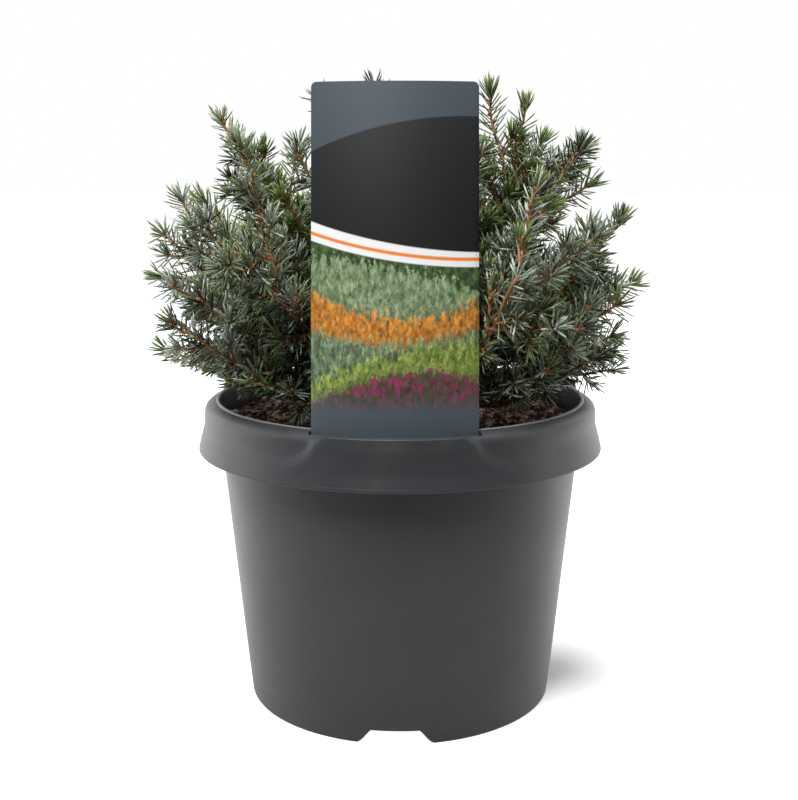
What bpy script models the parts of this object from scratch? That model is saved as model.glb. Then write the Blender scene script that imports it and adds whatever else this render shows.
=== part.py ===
"""Dwarf white spruce of the hedgehog kind, growing in a collared nursery pot with a label card.

Metres, +Z up. The origin is on the ground, under the middle of the whole plant and its pot,
and the front, where the card stands, faces -Y. Angles round the pot are counted from the
front, positive towards +X. Bearings round the crown are counted from +X towards +Y, and
heights in the crown are given as angles above the soil.
"""

import bisect
import math
import random

import bmesh
import bpy
from mathutils import Vector

# Clearance between pieces that touch
GAP = 0.0003

# The photo's viewpoint, which the crown's outline is read through
VIEW_PLACE = Vector((-0.0005, -0.5752, 0.2508))
VIEW_PITCH = math.radians(10.83)

# Pot wall: a straight cone from the foot to the lip
FOOT_RADIUS = 0.0723
LIP_RADIUS = 0.0864
LIP_Z = 0.1436
WALL = 0.0015
FLOOR_UNDER_Z = 0.0075
FLOOR_TOP_Z = 0.0095
FOOT_RIM_WIDTH = 0.0036
FOOT_ROUND = 0.0014
FOOT_BAND_Z = 0.0142
FOOT_BAND_STEP = 0.0003

# Collar: a skirt that hangs from the lip
COLLAR_RADIUS = 0.0950
COLLAR_EDGE_Z = 0.1200
COLLAR_SKIN = 0.0013
HOLLOW_ROOF_Z = 0.1385
PANEL_FOOT_Z = 0.1270
PANEL_RUN = 0.0022
PANEL_STEP = 0.0014
PANEL_CORNER_HEIGHT = 0.0145
PANEL_CORNER_TURN = math.radians(22.0)
PANEL_CORNER_POWER = 2.7

# Outside of the skirt as (height, radius), from its lower edge to where the shoulder bends in
SKIRT = ((COLLAR_EDGE_Z, COLLAR_RADIUS - 0.0004), (0.1212, COLLAR_RADIUS), (0.1236, 0.0942),
         (0.1268, 0.0933), (0.1284, 0.0929), (0.1310, 0.0928), (0.1345, 0.0926), (0.1380, 0.0924),
         (0.1402, 0.0922))
SHOULDER = ((0.1416, 0.0902), (0.1424, 0.0886), (0.1428, LIP_RADIUS + 0.0004))
POCKET_EDGE = 0.0007

# Pockets: where the skirt stands free of the lip, with a slot behind it
FRONT_POCKET = (math.radians(-22.7), math.radians(21.7))
REAR_POCKET = (math.radians(108.0), math.radians(252.0))
FRONT_SLOT = (math.radians(-25.4), math.radians(22.4))
REAR_SLOT = (math.radians(109.5), math.radians(250.5))
FRONT_POCKET_TOP_Z = 0.1422
REAR_POCKET_TOP_Z = 0.1438
SLOT_INNER = LIP_RADIUS + 0.0001
FRONT_SLOT_OUTER = 0.0896
REAR_SLOT_OUTER = 0.0910

# Foot notches
NOTCH_COUNT = 4
NOTCH_TURN = math.radians(-1.7)
NOTCH_HEIGHT = 0.0070
NOTCH_TOP_HALF = 0.0107
NOTCH_FOOT_HALF = 0.0185

# Soil
SOIL_EDGE_Z = 0.1330
SOIL_HEART_Z = 0.1342
SOIL_FLAT_RADIUS = 0.0125
SOIL_LUMP = 0.0007
SOIL_SIDES = 30
SOIL_SEED = 7

# Label card: a bent sheet that leans back out of the front slot
CARD_TURN = math.radians(-1.55)
CARD_HALF_WIDTH = 0.0345
CARD_THICKNESS = 0.0007
CARD_BEND = LIP_RADIUS + 0.0001 + GAP + CARD_THICKNESS / 2
CARD_LEAN = math.radians(10.83)
CARD_SEAT_Z = LIP_Z - 0.0004
CARD_ABOVE = 0.1436
CARD_BELOW = 0.0085
CARD_CORNER = 0.0024

# Trunk: a short leaning stem with a root flare
TRUNK_FOOT = Vector((-0.0014, 0.0010, SOIL_HEART_Z + GAP))
TRUNK_TOP = Vector((0.0004, -0.0002, 0.1680))
TRUNK_FLARE = 0.0088
TRUNK_RADIUS = 0.0056
TRUNK_TIP = 0.0028
TRUNK_SIDES = 12
# (share of the trunk's height, radius)
TRUNK_TAPER = ((0.0, TRUNK_FLARE), (0.06, TRUNK_FLARE * 0.90), (0.16, TRUNK_RADIUS * 1.15),
               (0.34, TRUNK_RADIUS), (0.62, TRUNK_RADIUS * 0.55 + TRUNK_TIP * 0.45),
               (1.0, TRUNK_TIP))
ROOT_LOBES = 5
ROOT_LOBE_DEPTH = 0.14
ROOT_LOBE_TOP = 0.16

# Crown: cone-shaped cells round one heart, one bough and one mass of foliage in each
HEART = Vector((0.0, 0.0, 0.1330))
RINGS = (
    # name, angle above the soil, count, height where the boughs leave the trunk
    ("low", math.radians(13.0), 8, 0.1432),
    ("mid", math.radians(37.0), 6, 0.1525),
    ("high", math.radians(62.0), 4, 0.1622),
)
TOP_BEARING = math.radians(80.0)
TOP_RISE = math.radians(87.0)
TURN_JITTER = math.radians(4.0)
RISE_JITTER = math.radians(2.5)
BOUGH_END = 0.0550
BOUGH_FOOT = 0.0017
BOUGH_TIP = 0.0012
BOUGH_SIDES = 6
BOUGH_BOW = 0.0018
BOUGH_STAGGER = 0.0011
BOUGH_STEPS = 4

# How far the needle tips reach from the heart on the left and the right, by angle above the
# soil in degrees. One shoot of the crown's outline stands at each of these angles.
REACH_LEFT = ((3, 0.088), (11, 0.095), (14, 0.119), (17, 0.124), (23, 0.126), (30, 0.1385),
              (38, 0.1480), (47, 0.153), (59, 0.171), (64, 0.148), (71, 0.145), (76, 0.164),
              (85, 0.162))
REACH_RIGHT = ((3, 0.092), (6, 0.099), (13, 0.113), (17, 0.114), (23, 0.116), (29, 0.138),
               (43, 0.149), (50, 0.148), (56, 0.162), (63, 0.154), (69, 0.165), (76, 0.164))
# Outline of the crown in the photo, as it would be at the heart's distance from the eye, by
# angle above the level. No part of the crown in front or behind shows beyond it.
OUTLINE_LEFT = ((3, 0.090), (10.5, 0.092), (13, 0.115), (15, 0.1235), (24, 0.1255),
                (26, 0.124), (28, 0.1385), (33, 0.142), (36, 0.152), (49, 0.154), (52, 0.147), (56, 0.152),
                (58, 0.173), (60.5, 0.171), (63, 0.148), (71, 0.145), (73, 0.162), (85, 0.164))
OUTLINE_RIGHT = ((3, 0.092), (8, 0.104), (13, 0.113), (24, 0.116), (28, 0.134), (33, 0.132),
                 (36, 0.124), (39, 0.124), (41, 0.148), (45, 0.150), (48, 0.146), (52, 0.152),
                 (55, 0.163), (59, 0.163), (62, 0.154), (66, 0.154), (68, 0.166), (85, 0.166))
OUTLINE_STAGGER = math.radians(4.0)
OUTLINE_ROOM = math.radians(10.0)
FRONT_FULLER = 0.20
BACK_SHORTER = 0.06

# Low in front the crown keeps behind the pot's lip
FRONT_LOW_SHORTER = 0.36
FRONT_LOW = math.radians(24.0)
FRONT_LOWEST = math.radians(10.0)
FRONT_LOW_SPREAD = 1.4

# Underside of the crown: it rises outwards, and a little more in front
UNDERSIDE_START = 0.045
UNDERSIDE_RISE = 0.0090
UNDERSIDE_SLOPE = 0.15
UNDERSIDE_FRONT = 0.003

# Shoots
SHOOT_COUNT = 100
SHOOT_JITTER = 0.06
SHOOT_LEAST_FULL = 0.93
SHOOT_SHORTEST = 0.018
SHOOT_TRIES = 6
LOWEST_SHOOT = math.radians(8.0)
SHOOT_SPREAD = math.radians(40.0)
STEM_FOOT = 0.0013
STEM_TIP = 0.0009
STEM_SIDES = 5
STEM_SHORT = 0.034
STEM_LEAST = 0.010
STEM_STEPS = 4
TWIG_FOOT = 0.0010
TWIG_TIP = 0.0009
SPRAY_RADIUS = 0.0019
SPRAY_TIP = 0.0010
SPRAY_LENGTH = 0.040
SPRAY_PITCH = 0.0070
TWIG_SIDES = 3
NEEDLE_LENGTH = 0.0094
NEEDLE_LEAN = math.radians(48.0)
NEEDLE_LEAN_JITTER = 0.14
TIP_NEEDLE = NEEDLE_LENGTH * 0.75
CROWN_SEED = 20
NEEDLE_SEED = 100

# Clearance of the foliage from its neighbours
CELL_MARGIN = 0.0004
POT_CLEAR_Z = LIP_Z + 0.0016
SOIL_CLEAR_Z = SOIL_HEART_Z + 0.0016
CARD_CLEAR = 0.0010
CARD_SIDE_CLEAR = 0.0015
CARD_NEEDLE_CLEAR = 0.0045


def clear_scene():
    """Start from nothing."""
    for old in list(bpy.data.objects):
        bpy.data.objects.remove(old, do_unlink=True)


def material(name, colour, roughness):
    """A plain Principled material."""
    made = bpy.data.materials.new(name)
    made.use_nodes = True
    shader = made.node_tree.nodes["Principled BSDF"]
    shader.inputs["Base Color"].default_value = (*colour, 1.0)
    shader.inputs["Roughness"].default_value = roughness
    shader.inputs["Metallic"].default_value = 0.0
    made.diffuse_color = (*colour, 1.0)
    return made


def add_object(name, bm, finish, smooth_angle=None):
    """Turn a bmesh into a named object."""
    bmesh.ops.recalc_face_normals(bm, faces=bm.faces)
    mesh = bpy.data.meshes.new(name)
    bm.to_mesh(mesh)
    bm.free()
    if smooth_angle is not None:
        mesh.shade_smooth()
        mesh.set_sharp_from_angle(angle=smooth_angle)
    made = bpy.data.objects.new(name, mesh)
    if finish is not None:
        mesh.materials.append(finish)
    bpy.context.scene.collection.objects.link(made)
    return made


def hide_cutter(cutter):
    """A cutter shapes its neighbour and isn't a part."""
    cutter.hide_render = True
    cutter.display_type = "WIRE"


def cut(target, cutter):
    """Take the cutter's shape out of the target."""
    modifier = target.modifiers.new("Cut " + cutter.name, "BOOLEAN")
    modifier.operation = "DIFFERENCE"
    modifier.solver = "EXACT"
    modifier.object = cutter
    hide_cutter(cutter)


def mix(low, high, share):
    """A value part of the way from low to high."""
    return low + (high - low) * share


def from_table(table, at):
    """Straight-line reading of a short table of (place, value)."""
    places = [row[0] for row in table]
    if at <= places[0]:
        return table[0][1]
    if at >= places[-1]:
        return table[-1][1]
    upper = bisect.bisect_right(places, at)
    low, high = table[upper - 1], table[upper]
    return mix(low[1], high[1], (at - low[0]) / (high[0] - low[0]))


# Pot

def wall_radius(z):
    """Outside of the pot's wall at a height."""
    return FOOT_RADIUS + (LIP_RADIUS - FOOT_RADIUS) * z / LIP_Z


def into_pocket(turn):
    """How far an angle lies inside a pocket's ends, positive inside, in radians."""
    turn = turn % (2 * math.pi)
    front = turn - 2 * math.pi if turn > math.pi else turn
    inside_front = min(front - FRONT_POCKET[0], FRONT_POCKET[1] - front)
    inside_rear = min(turn - REAR_POCKET[0], REAR_POCKET[1] - turn)
    return inside_front, inside_rear


def panel_foot(turn):
    """Height where the recessed side panel starts at this angle, past the top in a pocket."""
    outside = -max(into_pocket(turn))
    if outside <= 0.0:
        return LIP_Z
    share = max(0.0, 1.0 - outside / PANEL_CORNER_TURN)
    rise = 1.0 - (1.0 - share ** PANEL_CORNER_POWER) ** (1.0 / PANEL_CORNER_POWER)
    return PANEL_FOOT_Z + PANEL_CORNER_HEIGHT * rise


def skirt_radius(z, turn):
    """Outside of the collar's skirt, set back where a side panel is recessed."""
    into_panel = min(1.0, max(0.0, (z - panel_foot(turn)) / PANEL_RUN))
    return from_table(SKIRT, z) - PANEL_STEP * into_panel


def pot_column(turn):
    """The pot's closed section at one angle, from the middle of the underside round to
    the middle of the floor, as (radius, height)."""
    inside_front, inside_rear = into_pocket(turn)
    rim_inside = FOOT_RADIUS - FOOT_RIM_WIDTH
    band = wall_radius(FOOT_BAND_Z)
    underside = [(rim_inside - FOOT_BAND_STEP, FLOOR_UNDER_Z), (rim_inside, 0.0),
                 (FOOT_RADIUS - FOOT_ROUND, 0.0),
                 (FOOT_RADIUS - FOOT_ROUND * 0.2, FOOT_ROUND * 0.35),
                 (wall_radius(FOOT_ROUND), FOOT_ROUND), (band, FOOT_BAND_Z),
                 (band - FOOT_BAND_STEP, FOOT_BAND_Z + FOOT_BAND_STEP)]
    half_way = HOLLOW_ROOF_Z / 2
    wall = [(wall_radius(half_way) - FOOT_BAND_STEP / 2, half_way),
            (wall_radius(HOLLOW_ROOF_Z), HOLLOW_ROOF_Z)]
    hollow = [(skirt_radius(z, turn) - COLLAR_SKIN, z)
              for z in (HOLLOW_ROOF_Z, SKIRT[6][0], SKIRT[4][0], COLLAR_EDGE_Z)]
    skirt = [(skirt_radius(z, turn), z) for z, radius in SKIRT]
    if max(inside_front, inside_rear) > 0.0:
        top = FRONT_POCKET_TOP_Z if inside_front > 0.0 else REAR_POCKET_TOP_Z
        edge = SKIRT[-1][1]
        shoulder = [(edge, top - POCKET_EDGE), (edge - POCKET_EDGE, top), (SLOT_INNER + 0.002, top)]
    else:
        shoulder = [(radius, z) for z, radius in SHOULDER]
    lip = [(LIP_RADIUS, LIP_Z), (LIP_RADIUS - WALL * 0.8, LIP_Z),
           (LIP_RADIUS - WALL, LIP_Z - WALL * 0.3)]
    inside = [(wall_radius(half_way) - WALL, half_way),
              (wall_radius(FLOOR_TOP_Z + WALL) - WALL, FLOOR_TOP_Z + WALL),
              (wall_radius(FLOOR_TOP_Z) - WALL * 2, FLOOR_TOP_Z)]
    return underside + wall + hollow + skirt + shoulder + lip + inside


def pot_turns():
    """Angles of the pot's columns: even steps, with more where a panel's corner bends."""
    steps = 32
    turns = {round(2 * math.pi * step / steps, 6) for step in range(steps)}
    for ends in (FRONT_POCKET, REAR_POCKET):
        for end, outwards in ((ends[0], -1), (ends[1], 1)):
            turns = {turn for turn in turns
                     if abs(math.remainder(turn - end, 2 * math.pi)) > math.radians(2.4)}
            for away in (-0.05, 0.4, 2.2, 6.0):
                turns.add(round((end + outwards * math.radians(away)) % (2 * math.pi), 6))
    kept = []
    for turn in sorted(turns):
        if not kept or turn - kept[-1] > math.radians(0.3):
            kept.append(turn)
    return kept


def round_point(turn, radius, z):
    """A point at an angle from the front."""
    return Vector((radius * math.sin(turn), -radius * math.cos(turn), z))


def arc_bar(name, inner, outer, low, high, ends):
    """A curved bar of rectangular section between two angles."""
    bm = bmesh.new()
    corners = ((inner, low), (outer, low), (outer, high), (inner, high))
    start = [bm.verts.new(round_point(ends[0], radius, z)) for radius, z in corners]
    face = bm.faces.new(start)
    sweep = ends[1] - ends[0]
    steps = max(6, round(math.degrees(sweep) / 7.5))
    bmesh.ops.spin(bm, geom=[face], cent=(0, 0, 0), axis=(0, 0, 1), angle=sweep, steps=steps,
                   use_duplicate=False)
    return add_object(name, bm, None)


def notch_cutter(name, turn):
    """A tapering notch with round shoulders, cut through the foot."""
    bm = bmesh.new()
    half = [(NOTCH_TOP_HALF, NOTCH_HEIGHT), (mix(NOTCH_TOP_HALF, NOTCH_FOOT_HALF, 0.26), 0.0036),
            (mix(NOTCH_TOP_HALF, NOTCH_FOOT_HALF, 0.58), 0.0012), (NOTCH_FOOT_HALF, 0.0),
            (NOTCH_FOOT_HALF, -0.002)]
    outline = half + [(-x, z) for x, z in half[::-1]]
    near, far = FOOT_RADIUS - 0.012, FOOT_RADIUS + 0.008
    across = Vector((math.cos(turn), math.sin(turn), 0.0))
    outwards = Vector((math.sin(turn), -math.cos(turn), 0.0))
    face = bm.faces.new([bm.verts.new(across * x + outwards * near + Vector((0, 0, z)))
                         for x, z in outline])
    made = bmesh.ops.extrude_face_region(bm, geom=[face])
    moved = [item for item in made["geom"] if isinstance(item, bmesh.types.BMVert)]
    bmesh.ops.translate(bm, verts=moved, vec=outwards * (far - near))
    return add_object(name, bm, None)


def build_pot(finish):
    """The pot, turned column by column, with its slots and foot notches cut."""
    bm = bmesh.new()
    turns = pot_turns()
    columns = [[bm.verts.new(round_point(turn, radius, z)) for radius, z in pot_column(turn)]
               for turn in turns]
    under_heart = bm.verts.new((0, 0, FLOOR_UNDER_Z))
    floor_heart = bm.verts.new((0, 0, FLOOR_TOP_Z))
    for place, column in enumerate(columns):
        after = columns[(place + 1) % len(columns)]
        bm.faces.new((under_heart, column[0], after[0]))
        bm.faces.new((floor_heart, after[-1], column[-1]))
        for row in range(len(column) - 1):
            bm.faces.new((column[row], column[row + 1], after[row + 1], after[row]))
    pot = add_object("pot", bm, finish, math.radians(35.0))
    slot_low, slot_high = HOLLOW_ROOF_Z - 0.0012, LIP_Z + 0.0060
    cut(pot, arc_bar("cutter_front_slot", SLOT_INNER, FRONT_SLOT_OUTER, slot_low, slot_high,
                     FRONT_SLOT))
    cut(pot, arc_bar("cutter_rear_slot", SLOT_INNER, REAR_SLOT_OUTER, slot_low, slot_high,
                     REAR_SLOT))
    for number in range(NOTCH_COUNT):
        turn = NOTCH_TURN + 2 * math.pi * number / NOTCH_COUNT
        cut(pot, notch_cutter(f"cutter_notch_{number + 1}", turn))
    return pot


# Soil and card

def build_soil(finish):
    """The root ball's soil: it fills the pot, a gap clear, with a lumpy top."""
    chance = random.Random(SOIL_SEED)
    clear = WALL + 2 * GAP
    wide, high = SOIL_EDGE_Z, SOIL_HEART_Z
    rings = ((wall_radius(FLOOR_TOP_Z) - clear - WALL, FLOOR_TOP_Z + GAP, 0.0),
             (wall_radius(0.0130) - clear, 0.0130, 0.0),
             (wall_radius(0.0700) - clear, 0.0700, 0.0),
             (wall_radius(wide) - clear, wide, 0.4),
             (0.066, mix(wide, high, 0.5), 1.0),
             (0.048, mix(wide, high, 0.8), 1.0),
             (0.030, mix(wide, high, 0.9), 1.0),
             (SOIL_FLAT_RADIUS, high, 0.0))
    bm = bmesh.new()
    rows = []
    for radius, z, lump in rings:
        rows.append([bm.verts.new(round_point(2 * math.pi * side / SOIL_SIDES, radius,
                                              z + lump * SOIL_LUMP * chance.uniform(-1, 0.6)))
                     for side in range(SOIL_SIDES)])
    close_tube(bm, rows)
    return add_object("soil", bm, finish)


def card_stops(half):
    """Places across the card where its outline or its bend needs a point."""
    corner_steps, bend_steps = 4, 8
    stops = [(half - CARD_CORNER) * (2 * step / bend_steps - 1) for step in range(bend_steps + 1)]
    for step in range(1, corner_steps + 1):
        edge = half - CARD_CORNER * (1 - math.sin(math.pi / 2 * step / corner_steps))
        stops += [edge, -edge]
    return sorted(stops)


def card_top(along, half):
    """The card's upper edge at a place across it: straight, with round corners."""
    short = max(0.0, CARD_CORNER - (half - abs(along)))
    return CARD_ABOVE - CARD_CORNER + math.sqrt(max(0.0, CARD_CORNER ** 2 - short ** 2))


def card_point(along, up, out):
    """A point of the bent card: along its width, up its length, out of its middle."""
    turn = along / CARD_BEND + CARD_TURN
    radius = CARD_BEND + out
    return Vector((radius * math.sin(turn),
                   -radius * math.cos(turn) + up * math.sin(CARD_LEAN),
                   CARD_SEAT_Z + up * math.cos(CARD_LEAN)))


def build_card(finish):
    """The label card: a sheet bent by its slot, with round upper corners."""
    bm = bmesh.new()
    half = math.asin(CARD_HALF_WIDTH / CARD_BEND) * CARD_BEND
    stops = card_stops(half)
    sheets = []
    for out in (-CARD_THICKNESS / 2, CARD_THICKNESS / 2):
        low = [bm.verts.new(card_point(along, -CARD_BELOW, out)) for along in stops]
        high = [bm.verts.new(card_point(along, card_top(along, half), out)) for along in stops]
        sheets.append((low, high))
    (back_low, back_high), (face_low, face_high) = sheets
    last = len(stops) - 1
    for place in range(last):
        after = place + 1
        bm.faces.new((face_low[place], face_low[after], face_high[after], face_high[place]))
        bm.faces.new((back_low[after], back_low[place], back_high[place], back_high[after]))
        bm.faces.new((face_high[place], face_high[after], back_high[after], back_high[place]))
        bm.faces.new((face_low[after], face_low[place], back_low[place], back_low[after]))
    bm.faces.new((back_low[0], face_low[0], face_high[0], back_high[0]))
    bm.faces.new((face_low[last], back_low[last], back_high[last], face_high[last]))
    return add_object("label", bm, finish, math.radians(30.0))


# Plant

def direction(bearing, rise):
    """Unit vector from a bearing and an angle above the soil."""
    return Vector((math.cos(rise) * math.cos(bearing), math.cos(rise) * math.sin(bearing),
                   math.sin(rise)))


def card_middle_x():
    """Where the card's middle stands across the pot."""
    return CARD_BEND * math.sin(CARD_TURN)


def card_y(z):
    """How far forward the card stands at a height, at its middle."""
    return -CARD_BEND + (z - CARD_SEAT_Z) * math.tan(CARD_LEAN)


def seen_from_front(point):
    """A place or a direction turned into the photo's view: across, up and away."""
    cosine, sine = math.cos(VIEW_PITCH), math.sin(VIEW_PITCH)
    return Vector((point.x, point.z * cosine + point.y * sine, point.y * cosine - point.z * sine))


def outline_reach(heading):
    """Distance at which a line from the heart meets the crown's outline in the photo."""
    heart = seen_from_front(HEART - VIEW_PLACE)
    aim = seen_from_front(heading)
    across = aim.x * heart.z - heart.x * aim.z
    up = aim.y * heart.z - heart.y * aim.z
    rise = math.degrees(math.atan2(up, abs(across)))
    far = from_table(OUTLINE_RIGHT if across > 0 else OUTLINE_LEFT, rise)
    closing = (math.hypot(across, up) - far * aim.z) / heart.z
    return far / closing if closing > 0.2 else 1.0


def reach(heading):
    """Distance from the heart to the needle tips in a direction."""
    rise = math.degrees(math.asin(max(-1.0, min(1.0, heading.z))))
    level = math.hypot(heading.x, heading.y)
    leftness = 0.5 - 0.5 * (heading.x / level if level > 1e-6 else 0.0)
    far = mix(from_table(REACH_RIGHT, rise), from_table(REACH_LEFT, rise), leftness)
    forward = -heading.y
    ahead = max(0.0, forward)
    low = min(1.0, max(0.0, (FRONT_LOW - math.radians(rise)) / (FRONT_LOW - FRONT_LOWEST)))
    far *= 1.0 + FRONT_FULLER * ahead * (1.0 - low) + BACK_SHORTER * min(0.0, forward)
    far *= 1.0 - FRONT_LOW_SHORTER * low * min(1.0, ahead * FRONT_LOW_SPREAD)
    if forward > 0.02:
        # The crown stays behind the card where the card stands
        to_card = (HEART.y - card_y(HEART.z)) / (forward + heading.z * math.tan(CARD_LEAN))
        meeting = HEART + heading * to_card
        if abs(meeting.x - card_middle_x()) < CARD_HALF_WIDTH + 0.004:
            far = min(far, to_card - CARD_NEEDLE_CLEAR)
    return min(far, outline_reach(heading))


def underside(point):
    """Lowest height of the crown's shoots over a place."""
    far = math.hypot(point.x, point.y)
    ahead = max(0.0, -point.y / far)
    return (HEART.z + UNDERSIDE_RISE + (far - UNDERSIDE_START) * UNDERSIDE_SLOPE
            + UNDERSIDE_FRONT * ahead)


def is_clear(point, own, cells, spare=0.0):
    """Whether a point keeps to its own cell and off the pot, the soil, the card and boughs."""
    offset = point - HEART
    if offset.length < BOUGH_END + GAP:
        return False
    for other in cells:
        apart = own - other
        if other is not own and apart.dot(offset) < (CELL_MARGIN + spare) * apart.length:
            return False
    radius = math.hypot(point.x, point.y)
    if radius < wall_radius(SOIL_EDGE_Z) - WALL - 0.0018:
        lowest = SOIL_CLEAR_Z
    elif radius < COLLAR_RADIUS + 0.0020:
        lowest = POT_CLEAR_Z
    else:
        lowest = COLLAR_EDGE_Z
    if point.z < lowest + spare:
        return False
    if abs(point.x - card_middle_x()) < CARD_HALF_WIDTH + CARD_SIDE_CLEAR + spare:
        sag = CARD_BEND - math.sqrt(CARD_BEND ** 2 - point.x ** 2)
        if point.y < card_y(point.z) + sag + CARD_CLEAR + spare:
            return False
    return True


def edge_is_clear(start, end, own, cells):
    """The same for points along an edge."""
    steps = 4
    return all(is_clear(start.lerp(end, step / steps), own, cells)
               for step in range(1, steps + 1))


def curve_point(start, bend, end, share):
    """A point on a curve with one control point."""
    return start.lerp(bend, share).lerp(bend.lerp(end, share), share)


def frames_along(points):
    """A square frame at each point that doesn't twist along the way."""
    frames = []
    side = None
    for place, point in enumerate(points):
        before = points[max(0, place - 1)]
        after = points[min(len(points) - 1, place + 1)]
        ahead = (after - before).normalized()
        if side is None:
            side = ahead.orthogonal().normalized()
        side = (side - ahead * side.dot(ahead)).normalized()
        frames.append((ahead, side, ahead.cross(side)))
    return frames


def tube_rings(bm, points, radii, sides, twist=0.0):
    """Rings of vertices along a path."""
    rings = []
    for point, radius, (ahead, side, other) in zip(points, radii, frames_along(points)):
        ring = []
        for corner in range(sides):
            turn = 2 * math.pi * corner / sides + twist
            ring.append(bm.verts.new(point + (side * math.cos(turn) + other * math.sin(turn)) * radius))
        rings.append(ring)
    return rings


def close_tube(bm, rings):
    """Walls and end caps of a tube."""
    for low, high in zip(rings, rings[1:]):
        count = len(low)
        for corner in range(count):
            after = (corner + 1) % count
            bm.faces.new((low[corner], low[after], high[after], high[corner]))
    bm.faces.new(rings[0][::-1])
    bm.faces.new(rings[-1])


def trunk_at(z):
    """The trunk's middle and radius at a height."""
    share = (z - TRUNK_FOOT.z) / (TRUNK_TOP.z - TRUNK_FOOT.z)
    return TRUNK_FOOT.lerp(TRUNK_TOP, share), from_table(TRUNK_TAPER, share)


def build_trunk(finish):
    """The short trunk from its flat cut to the tip, flared at the foot."""
    bm = bmesh.new()
    rings = []
    for share, radius in TRUNK_TAPER:
        middle = TRUNK_FOOT.lerp(TRUNK_TOP, share)
        lobes = ROOT_LOBE_DEPTH * max(0.0, 1.0 - share / ROOT_LOBE_TOP)
        ring = []
        for side in range(TRUNK_SIDES):
            turn = 2 * math.pi * side / TRUNK_SIDES
            wide = radius * (1.0 + lobes * math.cos(ROOT_LOBES * turn + 0.6))
            ring.append(bm.verts.new(middle + direction(turn, 0.0) * wide))
        rings.append(ring)
    close_tube(bm, rings)
    return add_object("trunk", bm, finish, math.radians(50.0))


def crown_cells(chance):
    """The cells: name, heading and height of the bough's foot, ring by ring, then the top."""
    cells = []
    for name, rise, count, foot_z in RINGS:
        for number in range(count):
            bearing = 2 * math.pi * number / count + chance.uniform(-1, 1) * TURN_JITTER
            tilt = rise + chance.uniform(-1, 1) * RISE_JITTER
            lift = BOUGH_STAGGER * (1 if number % 2 else -1)
            cells.append((f"{name}_{number + 1}", direction(bearing, tilt), foot_z + lift))
    cells.append(("top", direction(TOP_BEARING, TOP_RISE), None))
    return cells


def seat_on_trunk(ring, level):
    """Slide a bough's first ring level with the ground until it hugs the trunk, a gap off."""
    for vert in ring:
        middle, radius = trunk_at(vert.co.z)
        away = (vert.co - middle).xy
        along = away.dot(level.xy)
        reached = (radius + GAP) ** 2 - away.length_squared + along ** 2
        vert.co += level * (math.sqrt(reached) - along)


def bough_path(heading, foot_z):
    """A bough's points and its foot's radius, from the trunk's side, or from its tip, to
    where its mass starts."""
    end = HEART + heading * BOUGH_END
    level = Vector((heading.x, heading.y, 0.0)).normalized()
    if foot_z is None:
        foot = TRUNK_TIP * 0.92
        slant = (end - TRUNK_TOP).normalized()
        start = TRUNK_TOP + Vector((0, 0, GAP + foot * slant.xy.length))
        bend = start.lerp(end, 0.5)
    else:
        foot = BOUGH_FOOT
        middle, radius = trunk_at(foot_z)
        start = middle + level * (radius + GAP)
        bend = start.lerp(end, 0.5) - Vector((0, 0, BOUGH_BOW))
    points = [curve_point(start, bend, end, step / BOUGH_STEPS)
              for step in range(BOUGH_STEPS + 1)]
    return points, foot


def build_bough(name, heading, foot_z, finish):
    """One tapering bough. Returns its points."""
    points, foot = bough_path(heading, foot_z)
    radii = [mix(foot, BOUGH_TIP, step / BOUGH_STEPS) for step in range(BOUGH_STEPS + 1)]
    bm = bmesh.new()
    rings = tube_rings(bm, points, radii, BOUGH_SIDES)
    if foot_z is not None:
        seat_on_trunk(rings[0], Vector((heading.x, heading.y, 0.0)).normalized())
    close_tube(bm, rings)
    add_object("bough_" + name, bm, finish, math.radians(60.0))
    return points


def outline_headings():
    """Headings of the shoots that make the outline on the right and the left."""
    headings = []
    for table, bearing in ((REACH_RIGHT, 0.0), (REACH_LEFT, math.pi)):
        for place, (rise, far) in enumerate(table):
            aside = OUTLINE_STAGGER * (1 if place % 2 else -1)
            if math.radians(rise) > LOWEST_SHOOT:
                headings.append(direction(bearing + aside, math.radians(rise)))
    return headings


def shoot_headings(chance):
    """(heading, share of the reach) of each shoot: the outline's, then others spread over the
    rest of the crown by the golden angle, each a little off."""
    golden = math.pi * (3.0 - math.sqrt(5.0))
    low = math.sin(LOWEST_SHOOT)
    outline = outline_headings()
    shoots = [(heading, 1.0) for heading in outline]
    for number in range(SHOOT_COUNT):
        rise = math.asin(low + (1.0 - low) * (number + 0.5) / SHOOT_COUNT)
        bearing = golden * number + chance.uniform(-1, 1) * SHOOT_JITTER
        heading = direction(bearing, rise + chance.uniform(-1, 1) * SHOOT_JITTER / 2)
        full = chance.uniform(SHOOT_LEAST_FULL, 1.0)
        if all(heading.angle(edge) > OUTLINE_ROOM for edge in outline):
            shoots.append((heading, full))
    return shoots


def stem_path(bough_points, heading):
    """The mass's own stem, from just past its bough's tip."""
    last, before = bough_points[-1], bough_points[-2]
    ahead = (last - before).normalized()
    start = last + ahead * (GAP + 0.0002)
    length = max(STEM_LEAST, reach(heading) - STEM_SHORT - BOUGH_END)
    end = HEART + heading * (BOUGH_END + length)
    bend = start + ahead * length * 0.5
    return [curve_point(start, bend, end, step / STEM_STEPS) for step in range(STEM_STEPS + 1)]


def along_path(points, share):
    """A point part of the way along a path of even steps."""
    place = min(len(points) - 1.000001, max(0.0, share * (len(points) - 1)))
    step = int(place)
    return points[step].lerp(points[step + 1], place - step)


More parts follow.
